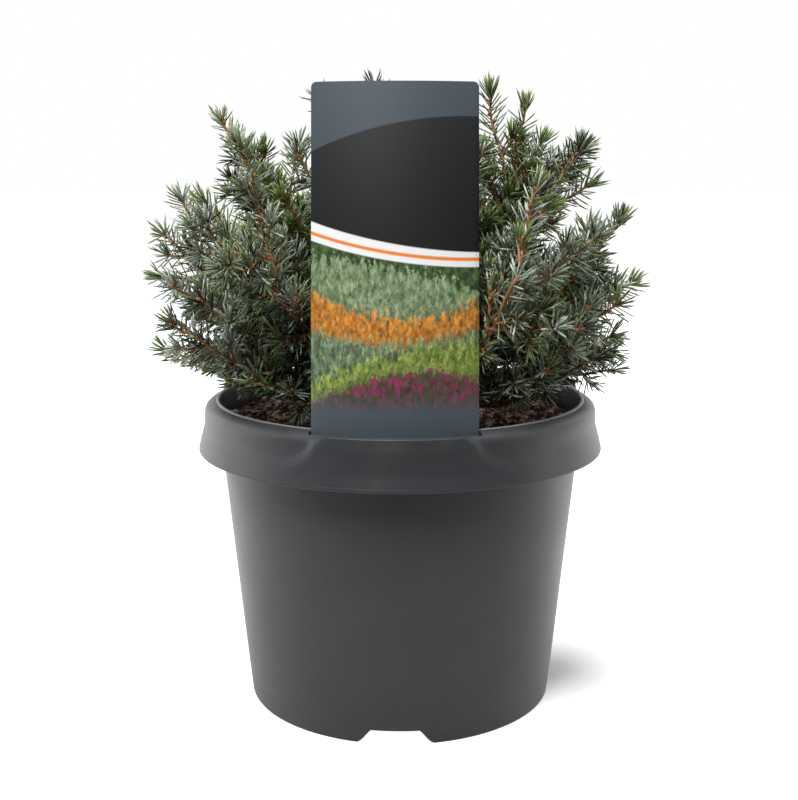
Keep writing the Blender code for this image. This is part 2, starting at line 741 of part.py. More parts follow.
def twig_path(stem, heading, tip):
    """A twig's curve from the stem to its tip, leaving the stem at the shoots' own angle."""
    offset = tip - HEART
    along = offset.dot(heading)
    across = (offset - heading * along).length
    foot_far = along - across / math.tan(SHOOT_SPREAD)
    stem_start = (stem[0] - HEART).length
    stem_end = (stem[-1] - HEART).length
    share = (foot_far - stem_start) / (stem_end - stem_start)
    start = along_path(stem, min(0.97, max(0.05, share)))
    middle = start.lerp(tip, 0.5)
    outwards = (middle - HEART).normalized()
    sideways = (tip - start).normalized()
    bow = (tip - start).length * 0.10
    bend = middle + (sideways - outwards * sideways.dot(outwards)) * bow
    return start, bend


def core_end(bend, tip):
    """Where a spray's core ends, with room for its last needle."""
    return tip - (tip - bend).normalized() * TIP_NEEDLE


def fit_shoot(aim, full, heading, stem, cells):
    """A shoot's start, bend and tip, drawn in towards the cell's middle until its core has
    room. None if it finds none."""
    room = reach(aim) * full - BOUGH_END
    for attempt in range(SHOOT_TRIES):
        if room < SHOOT_SHORTEST:
            return None
        tip = HEART + aim * (BOUGH_END + room)
        start, bend = twig_path(stem, heading, tip)
        last = core_end(bend, tip)
        checks = [curve_point(start, bend, last, share) for share in (0.4, 0.55, 0.7, 0.85, 1.0)]
        if tip.z > underside(tip) and all(is_clear(point, heading, cells, SPRAY_RADIUS)
                                          for point in checks):
            return start, bend, tip
        aim = (aim * 0.85 + heading * 0.15).normalized()
        room = min(room, reach(aim) - BOUGH_END) * 0.97
    return None


def mass_shoots(heading, stem, headings, cells):
    """The shoots of one mass: those whose headings lie nearest to its own."""
    shoots = []
    for aim, full in headings:
        if max(cells, key=aim.dot) is heading:
            shoot = fit_shoot(aim, full, heading, stem, cells)
            if shoot is not None:
                shoots.append(shoot)
    return shoots


def core_faces(bm, rings, first_ring):
    """The walls of a shoot. Returns the triangles that needles stand on, each with its ring."""
    feet = []
    for place, (low, high) in enumerate(zip(rings, rings[1:])):
        for corner in range(TWIG_SIDES):
            after = (corner + 1) % TWIG_SIDES
            if place < first_ring:
                bm.faces.new((low[corner], low[after], high[after], high[corner]))
            elif (place + corner) % 2 == 0:
                bm.faces.new((low[corner], low[after], high[corner]))
                feet.append(((low[after], high[after], high[corner]), place))
            else:
                bm.faces.new((low[after], high[after], high[corner]))
                feet.append(((low[corner], low[after], high[corner]), place))
    bm.faces.new(rings[0][::-1])
    feet.append((tuple(rings[-1]), len(rings) - 1))
    return feet


def grow_needle(bm, foot, centre, aim, long, own, cells):
    """A needle on a face's corners, as long as its room allows."""
    apex = centre + aim * long
    while not edge_is_clear(centre, apex, own, cells):
        long *= 0.75
        if long < 0.0015:
            bm.faces.new(foot)
            return
        apex = centre + aim * long
    point = bm.verts.new(apex)
    for edge in range(len(foot)):
        bm.faces.new((foot[edge], foot[(edge + 1) % len(foot)], point))


def build_shoot(name, shoot, own, cells, chance):
    """One twig with its spray: a slim core that needles stand out of."""
    start, bend, tip = shoot
    length = (tip - start).length
    last = core_end(bend, tip)
    spray = min(SPRAY_LENGTH, length * 0.8)
    bare = 1.0 - spray / length
    count = max(2, round(spray / SPRAY_PITCH))
    shares = [0.0, bare * 0.55] if bare > 0.25 else [0.0]
    radii = [mix(TWIG_FOOT, TWIG_TIP, share) for share in shares]
    first_ring = len(shares)
    for step in range(count + 1):
        shares.append(mix(bare, 1.0, step / count))
        radii.append(mix(SPRAY_RADIUS, SPRAY_TIP, step / count) if step else TWIG_TIP)
    points = [curve_point(start, bend, last, share) for share in shares]
    bm = bmesh.new()
    rings = tube_rings(bm, points, radii, TWIG_SIDES, chance.uniform(0, math.pi / 2))
    frames = frames_along(points)
    for foot, place in core_faces(bm, rings, first_ring):
        centre = sum((vert.co for vert in foot), Vector()) / len(foot)
        ahead = frames[place][0]
        if place == len(points) - 1:
            grow_needle(bm, foot, centre, ahead, TIP_NEEDLE, own, cells)
            continue
        out = centre - points[place]
        out = (out - ahead * out.dot(ahead)).normalized()
        lean = NEEDLE_LEAN + chance.uniform(-1, 1) * NEEDLE_LEAN_JITTER
        long = NEEDLE_LENGTH * chance.uniform(0.86, 1.08)
        grow_needle(bm, foot, centre, ahead * math.cos(lean) + out * math.sin(lean), long,
                    own, cells)
    return add_object(name, bm, None)


def join_mass(name, stem, shoots, finish):
    """Fuse a mass's stem and shoots into one solid."""
    group = bpy.data.collections.new("shoots_" + name)
    bpy.context.scene.collection.children.link(group)
    for shoot in shoots:
        bpy.context.scene.collection.objects.unlink(shoot)
        group.objects.link(shoot)
    modifier = stem.modifiers.new("Join shoots", "BOOLEAN")
    modifier.operation = "UNION"
    modifier.solver = "EXACT"
    modifier.operand_type = "COLLECTION"
    modifier.collection = group
    bpy.context.view_layer.update()
    graph = bpy.context.evaluated_depsgraph_get()
    joined = bpy.data.meshes.new_from_object(stem.evaluated_get(graph), depsgraph=graph)
    stem.modifiers.clear()
    stem.data = joined
    joined.materials.clear()
    joined.materials.append(finish)
    for shoot in shoots:
        bpy.data.objects.remove(shoot, do_unlink=True)
    bpy.data.collections.remove(group)
    stem.name = "foliage_" + name
    joined.name = stem.name
    return stem


def build_mass(name, heading, bough_points, headings, cells, finish, chance):
    """One mass: a stem past its bough, and a shoot to each tip in its cell."""
    stem = stem_path(bough_points, heading)
    shoots = [build_shoot(f"shoot_{name}_{number}", shoot, heading, cells, chance)
              for number, shoot in enumerate(mass_shoots(heading, stem, headings, cells))]
    radii = [mix(STEM_FOOT, STEM_TIP, step / STEM_STEPS) for step in range(STEM_STEPS + 1)]
    bm = bmesh.new()
    close_tube(bm, tube_rings(bm, stem, radii, STEM_SIDES))
    return join_mass(name, add_object("stem_" + name, bm, None), shoots, finish)


def main():
    clear_scene()
    plastic = material("anthracite plastic", (0.058, 0.060, 0.065), 0.42)
    peat = material("dark peat", (0.045, 0.026, 0.018), 0.95)
    printed = material("printed card", (0.050, 0.060, 0.070), 0.40)
    bark = material("brown bark", (0.180, 0.095, 0.050), 0.85)
    needles = material("blue-green needles", (0.090, 0.165, 0.120), 0.60)
    build_pot(plastic)
    build_soil(peat)
    build_card(printed)
    build_trunk(bark)
    chance = random.Random(CROWN_SEED)
    cells = crown_cells(chance)
    cell_headings = [heading for name, heading, foot_z in cells]
    headings = shoot_headings(chance)
    for number, (name, heading, foot_z) in enumerate(cells):
        points = build_bough(name, heading, foot_z, bark)
        build_mass(name, heading, points, headings, cell_headings, needles,
                   random.Random(NEEDLE_SEED + number))


main()
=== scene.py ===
"""Looks of a dwarf white spruce of the hedgehog kind in its collared nursery pot.

Metres, +Z up, the front faces -Y. Angles round the pot are counted from the front, positive
towards +X. Bearings round the crown are counted from +X towards +Y, and heights in the crown
are given as angles above the soil. The crown repeats the growing rule of its solids and
carries it on to finer twigs, needles and buds.
"""

import bisect
import math
import random
from collections import namedtuple

import bmesh
import bpy
import numpy as np
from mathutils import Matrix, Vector, noise


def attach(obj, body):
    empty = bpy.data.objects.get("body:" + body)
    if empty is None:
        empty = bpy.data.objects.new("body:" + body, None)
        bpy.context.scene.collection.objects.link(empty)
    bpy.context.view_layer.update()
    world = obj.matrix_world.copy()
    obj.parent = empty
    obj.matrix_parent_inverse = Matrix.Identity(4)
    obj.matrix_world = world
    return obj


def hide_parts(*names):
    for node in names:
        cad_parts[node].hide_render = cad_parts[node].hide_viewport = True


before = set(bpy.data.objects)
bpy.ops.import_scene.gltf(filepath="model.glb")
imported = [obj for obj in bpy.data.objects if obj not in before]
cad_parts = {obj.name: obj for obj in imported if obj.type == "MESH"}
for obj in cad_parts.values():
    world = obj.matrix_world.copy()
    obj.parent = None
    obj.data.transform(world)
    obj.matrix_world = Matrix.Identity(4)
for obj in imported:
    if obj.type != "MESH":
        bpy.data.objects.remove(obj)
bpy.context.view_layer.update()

FULL_TURN = 2 * math.pi
GOLDEN_TURN = math.pi * (3.0 - math.sqrt(5.0))
GAP = 0.0003

# Camera, fitted to the photograph
CAMERA_PLACE = (-0.0005, -0.5752, 0.2508)
CAMERA_PITCH = math.radians(10.83)
CAMERA_LENS = 55.4

# Stage: the floor glows white for the eye past a painted shadow, a soft patch at the pot's foot
# where the glow gives way to the floor's own shading
PAINTED_SHADOW_PLACE = (0.074, 0.012, 0.0)
PAINTED_SHADOW_REACH = (0.010, 0.077)
# and it throws light forward from behind the pot
BOUNCE_START = -0.08
BOUNCE_FULL = 0.12
BOUNCE = 0.85
# In front the floor is pale out to here, then painted dark: painted shade that the pot reflects
# below its collar
PAINTED_DARK_EDGE = (-0.34, -0.22)
FLOOR_DARK_AND_PALE = ((0.06, 0.06, 0.06), (0.55, 0.55, 0.55))
FLOOR_SIZE = 12.0
LAMPS = (
    # name, place, aimed at, width, height, watts
    ("left_wall", (-0.95, 0.42, 0.38), (0.0, 0.30, 0.12), 1.5, 1.1, 10.5),
    ("right_wall", (0.95, 0.46, 0.38), (0.0, 0.34, 0.12), 1.5, 1.1, 6.4),
    ("back_wall", (0.0, 1.40, 0.60), (0.0, 0.0, 0.15), 3.2, 1.2, 14.0),
    ("ceiling", (0.0, 0.05, 1.25), (0.0, 0.0, 0.15), 1.6, 1.6, 26.0),
    ("front_box", (-0.25, -0.66, 1.02), (0.0, 0.0, 0.13), 0.40, 0.40, 10.0),
)
WORLD_FILL = 0.07

# Pot wall: a straight cone from the foot to the lip
FOOT_RADIUS = 0.0723
LIP_RADIUS = 0.0864
LIP_Z = 0.1436
WALL = 0.0015
FLOOR_UNDER_Z = 0.0075
FLOOR_TOP_Z = 0.0095
FOOT_RIM_WIDTH = 0.0036
FOOT_ROUND = 0.0014
FOOT_BAND_Z = 0.0142
FOOT_BAND_STEP = -0.00012
UNDERSIDE_FLAT = 0.040
RIM_EASE = 0.0003
POT_STEPS = 360
POT_SHARP = math.radians(32)
POT_PLAIN = (0.040, 0.0415, 0.046)
POT_GRAIN = ((0.033, 0.0345, 0.038), (0.044, 0.0455, 0.050), 55.0, 1400.0, 0.55)
POT_ROUGHNESS = (0.36, 0.50)
POT_DUST = (0.105, 0.082, 0.066)
POT_DUST_PATCHES = (0.52, 0.80)
POT_DUST_SCALE = 34.0
POT_DUST_SHARE = 0.50
# Painted highlight: a pale band along the top of the lip
POT_LIP_HIGHLIGHT = (0.220, 0.225, 0.235)
POT_LIP_HIGHLIGHT_DEPTH = 0.0004
POT_LIP_HIGHLIGHT_SHARE = 0.80
# The inside of the wall is darker above the soil, starting part of the way through the wall, as
# shares of its thickness
POT_INSIDE_DARK = (0.004, 0.004, 0.005)
POT_INSIDE_DARK_START = (0.55, 0.90)
POT_INSIDE_DARK_SHARE = 0.80

# Collar: a skirt that hangs from the lip
COLLAR_RADIUS = 0.0950
COLLAR_EDGE_Z = 0.1200
DUST_START_Z = (COLLAR_EDGE_Z - 0.006, COLLAR_EDGE_Z + 0.003)
COLLAR_SKIN = 0.0013
HOLLOW_ROOF_Z = 0.1385
PANEL_FOOT_Z = 0.1254
PANEL_RUN = 0.0048
PANEL_FOOT_RUN = 0.0090
PANEL_STEP = 0.0017
PANEL_CORNER = 0.0160
PANEL_STRETCH = 0.75

# Outside of the skirt as (height, radius): its bead with a groove over it, its flare, then up
# to a round shoulder that the lip's bead stands on
SKIRT = ((COLLAR_EDGE_Z, COLLAR_RADIUS - 0.0006), (0.1202, COLLAR_RADIUS - 0.0002),
         (0.1206, COLLAR_RADIUS), (0.1212, COLLAR_RADIUS), (0.1216, COLLAR_RADIUS - 0.0001),
         (0.1219, COLLAR_RADIUS - 0.00025), (0.1223, COLLAR_RADIUS - 0.0003),
         (0.1236, 0.0944), (0.1252, 0.0940), (0.1268, 0.0937), (0.1278, 0.0936), (0.1287, 0.0936),
         (0.1300, 0.0936), (0.1316, 0.0936), (0.1334, 0.0936), (0.1352, 0.0937), (0.1370, 0.0937),
         (0.1384, 0.0936), (0.1396, 0.0933))
SHOULDER = ((0.1406, 0.0911), (0.1412, 0.0905), (0.1418, 0.0897), (0.1423, 0.0889),
            (0.1427, 0.0880), (0.1431, LIP_RADIUS + 0.0004))
POCKET_EDGE = 0.0004
LIP_BEAD = 0.0001

# Pockets: where the skirt stands free of the lip, with a slot behind it
FRONT_POCKET = (math.radians(-21.3), math.radians(18.2))
REAR_POCKET = (math.radians(108.0), math.radians(252.0))
FRONT_SLOT = (math.radians(-25.1), math.radians(22.1))
REAR_SLOT = (math.radians(109.5), math.radians(250.5))
FRONT_POCKET_TOP_Z = 0.1422
REAR_POCKET_TOP_Z = 0.1438
POCKET_BLEND = math.radians(2.4)
SLOT_INNER = LIP_RADIUS + 0.00015
FRONT_SLOT_OUTER = 0.0896
REAR_SLOT_OUTER = 0.0910

# Foot notches
NOTCH_COUNT = 4
NOTCH_TURN = math.radians(-1.7)
NOTCH_HEIGHT = 0.0070
NOTCH_TOP_HALF = 0.0107
NOTCH_FOOT_HALF = 0.0185
NOTCH_INNER = FOOT_RADIUS - 0.012
NOTCH_OUTER = FOOT_RADIUS + 0.008
NOTCH_FLANK = 0.72
NOTCH_STEPS = 8

# Soil
SOIL_EDGE_Z = 0.1330
SOIL_HEART_Z = 0.1342
SOIL_DISH = 1.5
SOIL_LUMP = 0.0009
SOIL_LUMP_SCALE = 70.0
SOIL_CRUMB_SCALES = (420.0, 900.0)
SOIL_RINGS = 64
SOIL_STEPS = 200
CHIP_COUNT = 3600
CHIP_SEED = 11
CHIP_LONG = (0.0010, 0.0040)
CHIP_FEW_LONG = 2.4
CHIP_WIDTHS = (0.45, 0.80)
CHIP_DEPTHS = (0.30, 0.60)
CHIP_TILT = 0.5
CHIP_RAISED = 0.25
CHIP_SHAPES = 5
CHIP_SHAPE_SEED = 3
CHIP_CRACKED = 0.16
CHIP_WORN = 0.35
CHIP_EDGE_CLEAR = 0.0032
CHIP_TRUNK_CLEAR = 0.004

# Label card: a bent sheet that leans back out of the front slot
CARD_TURN = math.radians(-1.55)
CARD_HALF_WIDTH = 0.0345
CARD_THICKNESS = 0.0007
CARD_BEND = LIP_RADIUS + 0.0001 + GAP + CARD_THICKNESS / 2
CARD_LEAN = math.radians(10.83)
CARD_SEAT_Z = LIP_Z - 0.0004
CARD_ABOVE = 0.1436
CARD_BELOW = 0.0085
CARD_CORNER = 0.0024
CARD_EDGE_ROUND = 0.00012
CARD_STRIPS = 28
CARD_SHARP = math.radians(25)
# Print on the card. Drifts from the top down: height at the left and the right, bow, two colours
PLANTING_DRIFTS = (
    (0.500, 0.400, 0.020, (0.180, 0.280, 0.125), (0.380, 0.480, 0.285)),
    (0.400, 0.370, -0.060, (0.640, 0.190, 0.024), (0.900, 0.430, 0.070)),
    (0.290, 0.300, -0.040, (0.115, 0.185, 0.098), (0.340, 0.440, 0.260)),
    (0.130, 0.260, 0.030, (0.180, 0.275, 0.042), (0.440, 0.550, 0.130)),
    (0.070, 0.150, 0.060, (0.055, 0.096, 0.034), (0.330, 0.038, 0.135)),
)
PLANTING_GREENS = ((0.030, 0.060, 0.022), (0.120, 0.190, 0.060))
PLANTING_SHADE = (0.012, 0.022, 0.014)
PLANTING_LIGHT = (0.30, 0.62)
DRIFT_RAGGED = 0.22
DRIFT_SOFTNESS = 0.004
FOOT_FADE = (0.085, 0.030)
FOOT_INK = (0.078, 0.098, 0.112)
CHARCOAL_INK = (0.0088, 0.0094, 0.0104)
SLATE_INK = (0.045, 0.058, 0.070)
WHITE_INK = (0.80, 0.80, 0.80)
ORANGE_INK = (0.800, 0.210, 0.025)
# Lines over the planting from the foot up: height at the left and the right, bow, ink above
PRINT_LINES = (
    (0.545, 0.470, -0.018, WHITE_INK),
    (0.562, 0.487, -0.018, ORANGE_INK),
    (0.572, 0.497, -0.018, WHITE_INK),
    (0.600, 0.512, -0.018, CHARCOAL_INK),
    (0.800, 0.900, 0.030, SLATE_INK),
)
CARD_ROUGHNESS = (0.50, 0.60)

# Trunk
TRUNK_FOOT = Vector((-0.0014, 0.0010, SOIL_HEART_Z + GAP))
TRUNK_TOP = Vector((0.0004, -0.0002, 0.1680))
TRUNK_FLARE = 0.0088
TRUNK_RADIUS = 0.0056
TRUNK_TIP = 0.0028
TRUNK_TAPER = ((0.0, TRUNK_FLARE), (0.06, TRUNK_FLARE * 0.90), (0.16, TRUNK_RADIUS * 1.15),
               (0.34, TRUNK_RADIUS), (0.62, TRUNK_RADIUS * 0.55 + TRUNK_TIP * 0.45),
               (1.0, TRUNK_TIP))
ROOT_LOBES = 5
ROOT_LOBE_DEPTH = 0.14
ROOT_LOBE_TOP = 0.16
# Bark relief: sides, rings and depth
TRUNK_BARK = (40, 60, 0.00045)
BOUGH_BARK = (12, 36, 0.00018)
# Noise scales across and along the bark
BARK_RIDGES = Vector((900, 900, 260))
BARK_FLAKES = Vector((700, 700, 420))

# Crown: cone-shaped cells round one heart, one bough and one mass of foliage in each
HEART = Vector((0.0, 0.0, 0.1330))
RINGS = (
    # name, angle above the soil, count, height where the boughs leave the trunk
    ("low", math.radians(13.0), 8, 0.1432),
    ("mid", math.radians(37.0), 6, 0.1525),
    ("high", math.radians(62.0), 4, 0.1622),
)
TOP_BEARING = math.radians(80.0)
TOP_RISE = math.radians(87.0)
TURN_JITTER = math.radians(4.0)
RISE_JITTER = math.radians(2.5)
BOUGH_END = 0.0550
BOUGH_FOOT = 0.0017
BOUGH_TIP = 0.0012
BOUGH_TIP_WOOD = 0.0010
BOUGH_BOW = 0.0018
BOUGH_STAGGER = 0.0011
CROWN_SEED = 20

# How far the needle tips reach from the heart on the left and the right, by angle above the
# soil in degrees. One shoot of the crown's outline stands at each of these angles.
REACH_LEFT = ((3, 0.088), (11, 0.095), (14, 0.119), (17, 0.124), (23, 0.126), (30, 0.1385),
              (38, 0.1480), (47, 0.153), (59, 0.171), (64, 0.148), (71, 0.145), (76, 0.164),
              (85, 0.162))
REACH_RIGHT = ((3, 0.092), (6, 0.099), (13, 0.113), (17, 0.114), (23, 0.116), (29, 0.138),
               (43, 0.149), (50, 0.148), (56, 0.162), (63, 0.154), (69, 0.165), (76, 0.164))
# Outline of the crown in the photo, as it would be at the heart's distance from the eye, by
# angle above the level. No part of the crown in front or behind shows beyond it.
OUTLINE_LEFT = ((3, 0.090), (10.5, 0.092), (13, 0.115), (15, 0.1235), (24, 0.1255),
                (26, 0.124), (28, 0.1385), (33, 0.142), (36, 0.152), (49, 0.154), (52, 0.147),
                (56, 0.152), (58, 0.173), (60.5, 0.171), (63, 0.148), (71, 0.145), (73, 0.162),
                (85, 0.164))
OUTLINE_RIGHT = ((3, 0.092), (8, 0.104), (13, 0.113), (24, 0.116), (28, 0.134), (33, 0.132),
                 (36, 0.124), (39, 0.124), (41, 0.148), (45, 0.150), (48, 0.146), (52, 0.152),
                 (55, 0.163), (59, 0.163), (62, 0.154), (66, 0.154), (68, 0.166), (85, 0.166))
OUTLINE_STAGGER = math.radians(4.0)
OUTLINE_ROOM = math.radians(10.0)
FRONT_FULLER = 0.20
BACK_SHORTER = 0.06
# Low in front the crown keeps behind the pot's lip
FRONT_LOW_SHORTER = 0.36
FRONT_LOW = math.radians(24.0)
FRONT_LOWEST = math.radians(10.0)
FRONT_LOW_SPREAD = 1.4

# Shoots, as in the solids
SHOOT_COUNT = 100
SHOOT_JITTER = 0.06
SHOOT_LEAST_FULL = 0.93
SHOOT_SHORTEST = 0.018
SHOOT_TRIES = 6
LOWEST_SHOOT = math.radians(8.0)
SHOOT_SPREAD = math.radians(40.0)
TWIG_BOW = 0.10
TWIG_FOOT_SHARES = (0.05, 0.97)
CORE_CHECKS = (0.4, 0.55, 0.7, 0.85, 1.0)
AIM_KEPT = 0.85
SHOOT_SHRINK = 0.97
STEM_SHORT = 0.034
STEM_LEAST = 0.010
SPRAY_RADIUS = 0.0019
TIP_NEEDLE = 0.00705
CELL_MARGIN = 0.0004
POT_CLEAR_Z = LIP_Z + 0.0016
SOIL_CLEAR_Z = SOIL_HEART_Z + 0.0016
CARD_CLEAR = 0.0010
CARD_SIDE_CLEAR = 0.0015
CARD_NEEDLE_CLEAR = 0.0045

# Underside of the crown: it rises outwards, and a little more in front
UNDERSIDE_START = 0.045
UNDERSIDE_RISE = 0.0090
UNDERSIDE_SLOPE = 0.15
UNDERSIDE_FRONT = 0.003
SIDE_TWIG_CLEAR = 0.0092
SHOOT_CLEAR = 0.0040
NEEDLE_CLEAR = 0.0030

# Finer growth
FINE_COUNT = 230
FINE_SEED = 61
FINE_FULL = (0.62, 0.88)
STEM_WOOD = (0.00105, 0.00075)
SHOOT_WOOD = (0.00080, 0.00056)
LATERAL_WOOD = (0.00074, 0.00048)
TWIG_WOBBLE = 0.022
WOBBLE_TURNS = 9.0
WOOD_SEED = 5
TWIG_TUBES = (
    # pile, sides, rings, unevenness
    ("stems", 8, 14, 0.10),
    ("shoots", 7, 16, 0.13),
    ("side_twigs", 6, 8, 0.13),
)
LATERAL_STEP = 0.0086
LATERAL_LONG = 0.026
LATERAL_SHORT = 0.009
LATERAL_LEAN = (math.radians(38), math.radians(58))
LATERAL_PLACES = (0.2, 0.8)
LATERAL_OUTWARDS = 0.12
LATERAL_TURN_OUT = 0.18
LATERAL_BEND = 0.45
LATERAL_TIP_SHARE = 0.4
WOOD_TO_TIP = 0.0072
LATERAL_LEAST = 0.0055
LATERAL_TRIES = 3
LATERAL_SHRINK = 0.72
LATERAL_SHARE = 0.55
LATERAL_BARE = 0.06
LATERAL_LENGTHS = (0.75, 1.15)
LATERAL_DROP = 0.10
LOW_WOOD = 0.035
# Stretches of their parents that side twigs grow on, as shares of the length
OUTLINE_SIDES = (0.05, 0.46)
SHOOT_SIDES = (0.05, 0.68)
STEM_SIDES = (0.0, 0.9)
INNER_SHARES = (0.45, 0.98)
LIMB_BARE = 0.55
SHOOT_CLOTHED = 0.084
FRESH_OUTLINE = 0.75
FRESH_DEEPER = 0.14

# Low sprays: start, end, and whether the tip is fresh green
HANGING_BOW = 0.16
HANGING_BARE = 0.15
HANGING = (
    ((-0.026, -0.022, 0.150), (-0.0440, -0.0480, 0.1455), False),
    ((-0.030, -0.014, 0.153), (-0.0560, -0.0400, 0.1540), False),
    ((-0.036, -0.030, 0.150), (-0.0460, -0.0360, 0.1570), False),
    ((-0.040, -0.008, 0.150), (-0.0700, -0.0150, 0.1500), False),
    ((0.026, -0.018, 0.150), (0.0520, -0.0420, 0.1500), False),
    ((0.034, -0.012, 0.152), (0.0660, -0.0300, 0.1500), False),
    ((0.036, -0.030, 0.150), (0.0480, -0.0350, 0.1580), False),
    ((0.040, 0.000, 0.150), (0.0620, -0.0120, 0.1560), False),
    ((0.0790, -0.0020, 0.1590), (0.0890, -0.0050, 0.1500), False),
)

# Needles
NEEDLE_LONG = 0.0108
NEEDLE_WIDE = 0.00090
NEEDLE_THICK = 0.00068
NEEDLE_SEED = 8
NEEDLE_PITCH = 0.00074
# Closer spacing on stems and shoots, as a share of the pitch
NEEDLE_CLOSER = {"stem": 0.9, "shoot": 0.8}
NEEDLES_LEAST = 6
NEEDLE_SAG = 0.20
NEEDLE_LIFT = 0.10
NEEDLE_LEAN = (48, 78)
NEEDLE_TURNS = (-0.5, 0.5)
NEEDLE_SINK = 0.7
SIDE_NEEDLE_LONG = 0.93
NEEDLE_LENGTHS = (0.70, 1.05)
NEEDLE_WIDTHS = (0.82, 1.12)
NEEDLE_CURL = 0.07
NEEDLE_SCATTER = 0.06
LOW_SPRAY = 0.040
# Room between the needles' tips and the pot, its lip, the card and the card's sides
TIP_CLEAR = 0.0006
TIP_LIP_CLEAR = 0.0004
TIP_SIDE_CLEAR = 0.0008
TIP_NEEDLES = 16
TIP_STRETCH = 0.010
TIP_TUFT = 0.0022
# Lean of the tuft's needles and how much the others lean in near it, plain and fresh
TUFT_LEAN = ((6, 80), (6, 55))
TIP_LEAN_IN = (0.12, 0.35)
SHOOT_SPARE = 0.006
SIDE_SPARE = 0.003
INNER_CROWN = 0.085
PAINTED_SHADE_DEPTH = 0.072
FRESH_TIP_SHARE = 0.8
STRAY_SHARE = 0.42
PIECE_LIMIT = 190000
NEEDLE_SHADES = (
    # name, base colour, roughness, weight when dealt to a spray
    ("fresh", (0.134, 0.194, 0.046), 0.42, 0.00),
    ("green", (0.122, 0.160, 0.050), 0.42, 0.26),
    ("sage", (0.222, 0.266, 0.156), 0.44, 0.25),
    ("blue", (0.192, 0.242, 0.200), 0.42, 0.19),
    ("pale", (0.430, 0.490, 0.400), 0.44, 0.13),
    # Near-black: a dark tone where dealt at random, and painted shade on twigs close to the heart
    ("dark_and_painted_shade", (0.014, 0.020, 0.007), 0.45, 0.20),
)

# Stretch of the noise that the shared mottle spreads from one colour to the other
MOTTLE_SPAN = (0.32, 0.68)
# Mottled finishes: name, two colours, roughness, broad and fine scale, fine share, bump
OLD_BARK = ("old_bark", (0.030, 0.017, 0.010), (0.115, 0.066, 0.040), 0.85,
            240.0, 1800.0, 0.5, 0.0004)
YOUNG_LIMB = (0.270, 0.130, 0.045)
YOUNG_BARK = ("young_bark", (0.150, 0.066, 0.020), (0.410, 0.205, 0.068), 0.62,
              200.0, 1500.0, 0.5, 0.0002)
BUD_BROWN = ("bud_brown", (0.170, 0.058, 0.016), (0.450, 0.180, 0.055), 0.50,
             700.0, 2500.0, 0.4, 0.0001)
DARK_PEAT = ("dark_peat", (0.010, 0.006, 0.004), (0.060, 0.032, 0.020), 0.95,
             150.0, 900.0, 0.6, 0.0006)
CHIP_GRAIN = (300.0, 1500.0, 0.5, 0.0003)
CHIPS = (
    # pile, share of the chips, finish
    ("chips_dark", 0.30, ("dark_chip", (0.020, 0.011, 0.007), (0.080, 0.042, 0.026), 0.80)),
    ("chips_red", 0.40, ("red_chip", (0.150, 0.062, 0.034), (0.360, 0.165, 0.090), 0.65)),
    ("chips_pale", 0.30, ("pale_chip", (0.400, 0.260, 0.180), (0.720, 0.560, 0.440), 0.75)),
)

# Buds: their lengths at a tip, beside it, on a side twig's foot and along a shoot
BUD_SEED = 15
TIP_BUD = (0.0015, 0.0021)
BESIDE_BUD = (0.0013, 0.0018)
FOOT_BUD = (0.0015, 0.0024)
SHOOT_BUD = (0.0014, 0.0021)
BESIDE_CHANCE = 0.35
FOOT_CHANCE = 0.7
# Where buds stand along a twig, as shares of its length, and how many on a shoot
BESIDE_PLACE = 0.975
FOOT_PLACE = 0.03
SHOOT_PLACES = (0.35, 0.97, 3)
# Lean and distance out from the wood's middle
TIP_BUD_STANCE = (0.15, 0.0)
SIDE_BUD_STANCE = (0.7, 0.0004)
BUD_RAISED = 0.45
BUD_POINTED = 0.45


# Small tools

def mix(low, high, share):
    """A value part of the way from low to high."""
    return low + (high - low) * share


def from_table(table, at):
    """Straight-line reading of a short table of (place, value)."""
    if at <= table[0][0]:
        return table[0][1]
    if at >= table[-1][0]:
        return table[-1][1]
    upper = bisect.bisect_right(table, at, key=lambda row: row[0])
    low, high = table[upper - 1], table[upper]
    return mix(low[1], high[1], (at - low[0]) / (high[0] - low[0]))


def wall_radius(z):
    """Outside of the pot's wall at a height."""
    return FOOT_RADIUS + (LIP_RADIUS - FOOT_RADIUS) * z / LIP_Z


def round_point(turn, radius, z):
    """A point at an angle from the front."""
    return Vector((radius * math.sin(turn), -radius * math.cos(turn), z))


def direction(bearing, rise):
    """Unit vector from a bearing and an angle above the soil."""
    return Vector((math.cos(rise) * math.cos(bearing), math.cos(rise) * math.sin(bearing),
                   math.sin(rise)))


def new_object(name, data):
    """An object in the scene for a mesh, a lamp or a camera."""
    made = bpy.data.objects.new(name, data)
    bpy.context.scene.collection.objects.link(made)
    return made


def mesh_of(name, bm):
    """A mesh from a bmesh, which is freed."""
    mesh = bpy.data.meshes.new(name)
    bm.to_mesh(mesh)
    bm.free()
    return mesh


def grow_edges(bm, edges):
    """Extrude a ring of edges one step. Returns the new points and the new ring's edges."""
    grown = bmesh.ops.extrude_edge_only(bm, edges=edges)["geom"]
    verts = [item for item in grown if isinstance(item, bmesh.types.BMVert)]
    ring = [item for item in grown if isinstance(item, bmesh.types.BMEdge)
            and item.verts[0] in verts and item.verts[1] in verts]
    return verts, ring


def add_piece(name, bm, finish, replaced=(), smooth_angle=None):
    """Turn a bmesh into a piece of the plant."""
    mesh = mesh_of(name, bm)
    if smooth_angle is not None:
        mesh.shade_smooth()
        mesh.set_sharp_from_angle(angle=smooth_angle)
    mesh.materials.append(finish)
    return settle(new_object(name, mesh), replaced)


def settle(piece, replaced):
    """Hang the piece on the root body and hide the nodes that it stands for."""
    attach(piece, "root")
    if replaced:
        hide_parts(*replaced)
    return piece


# Materials

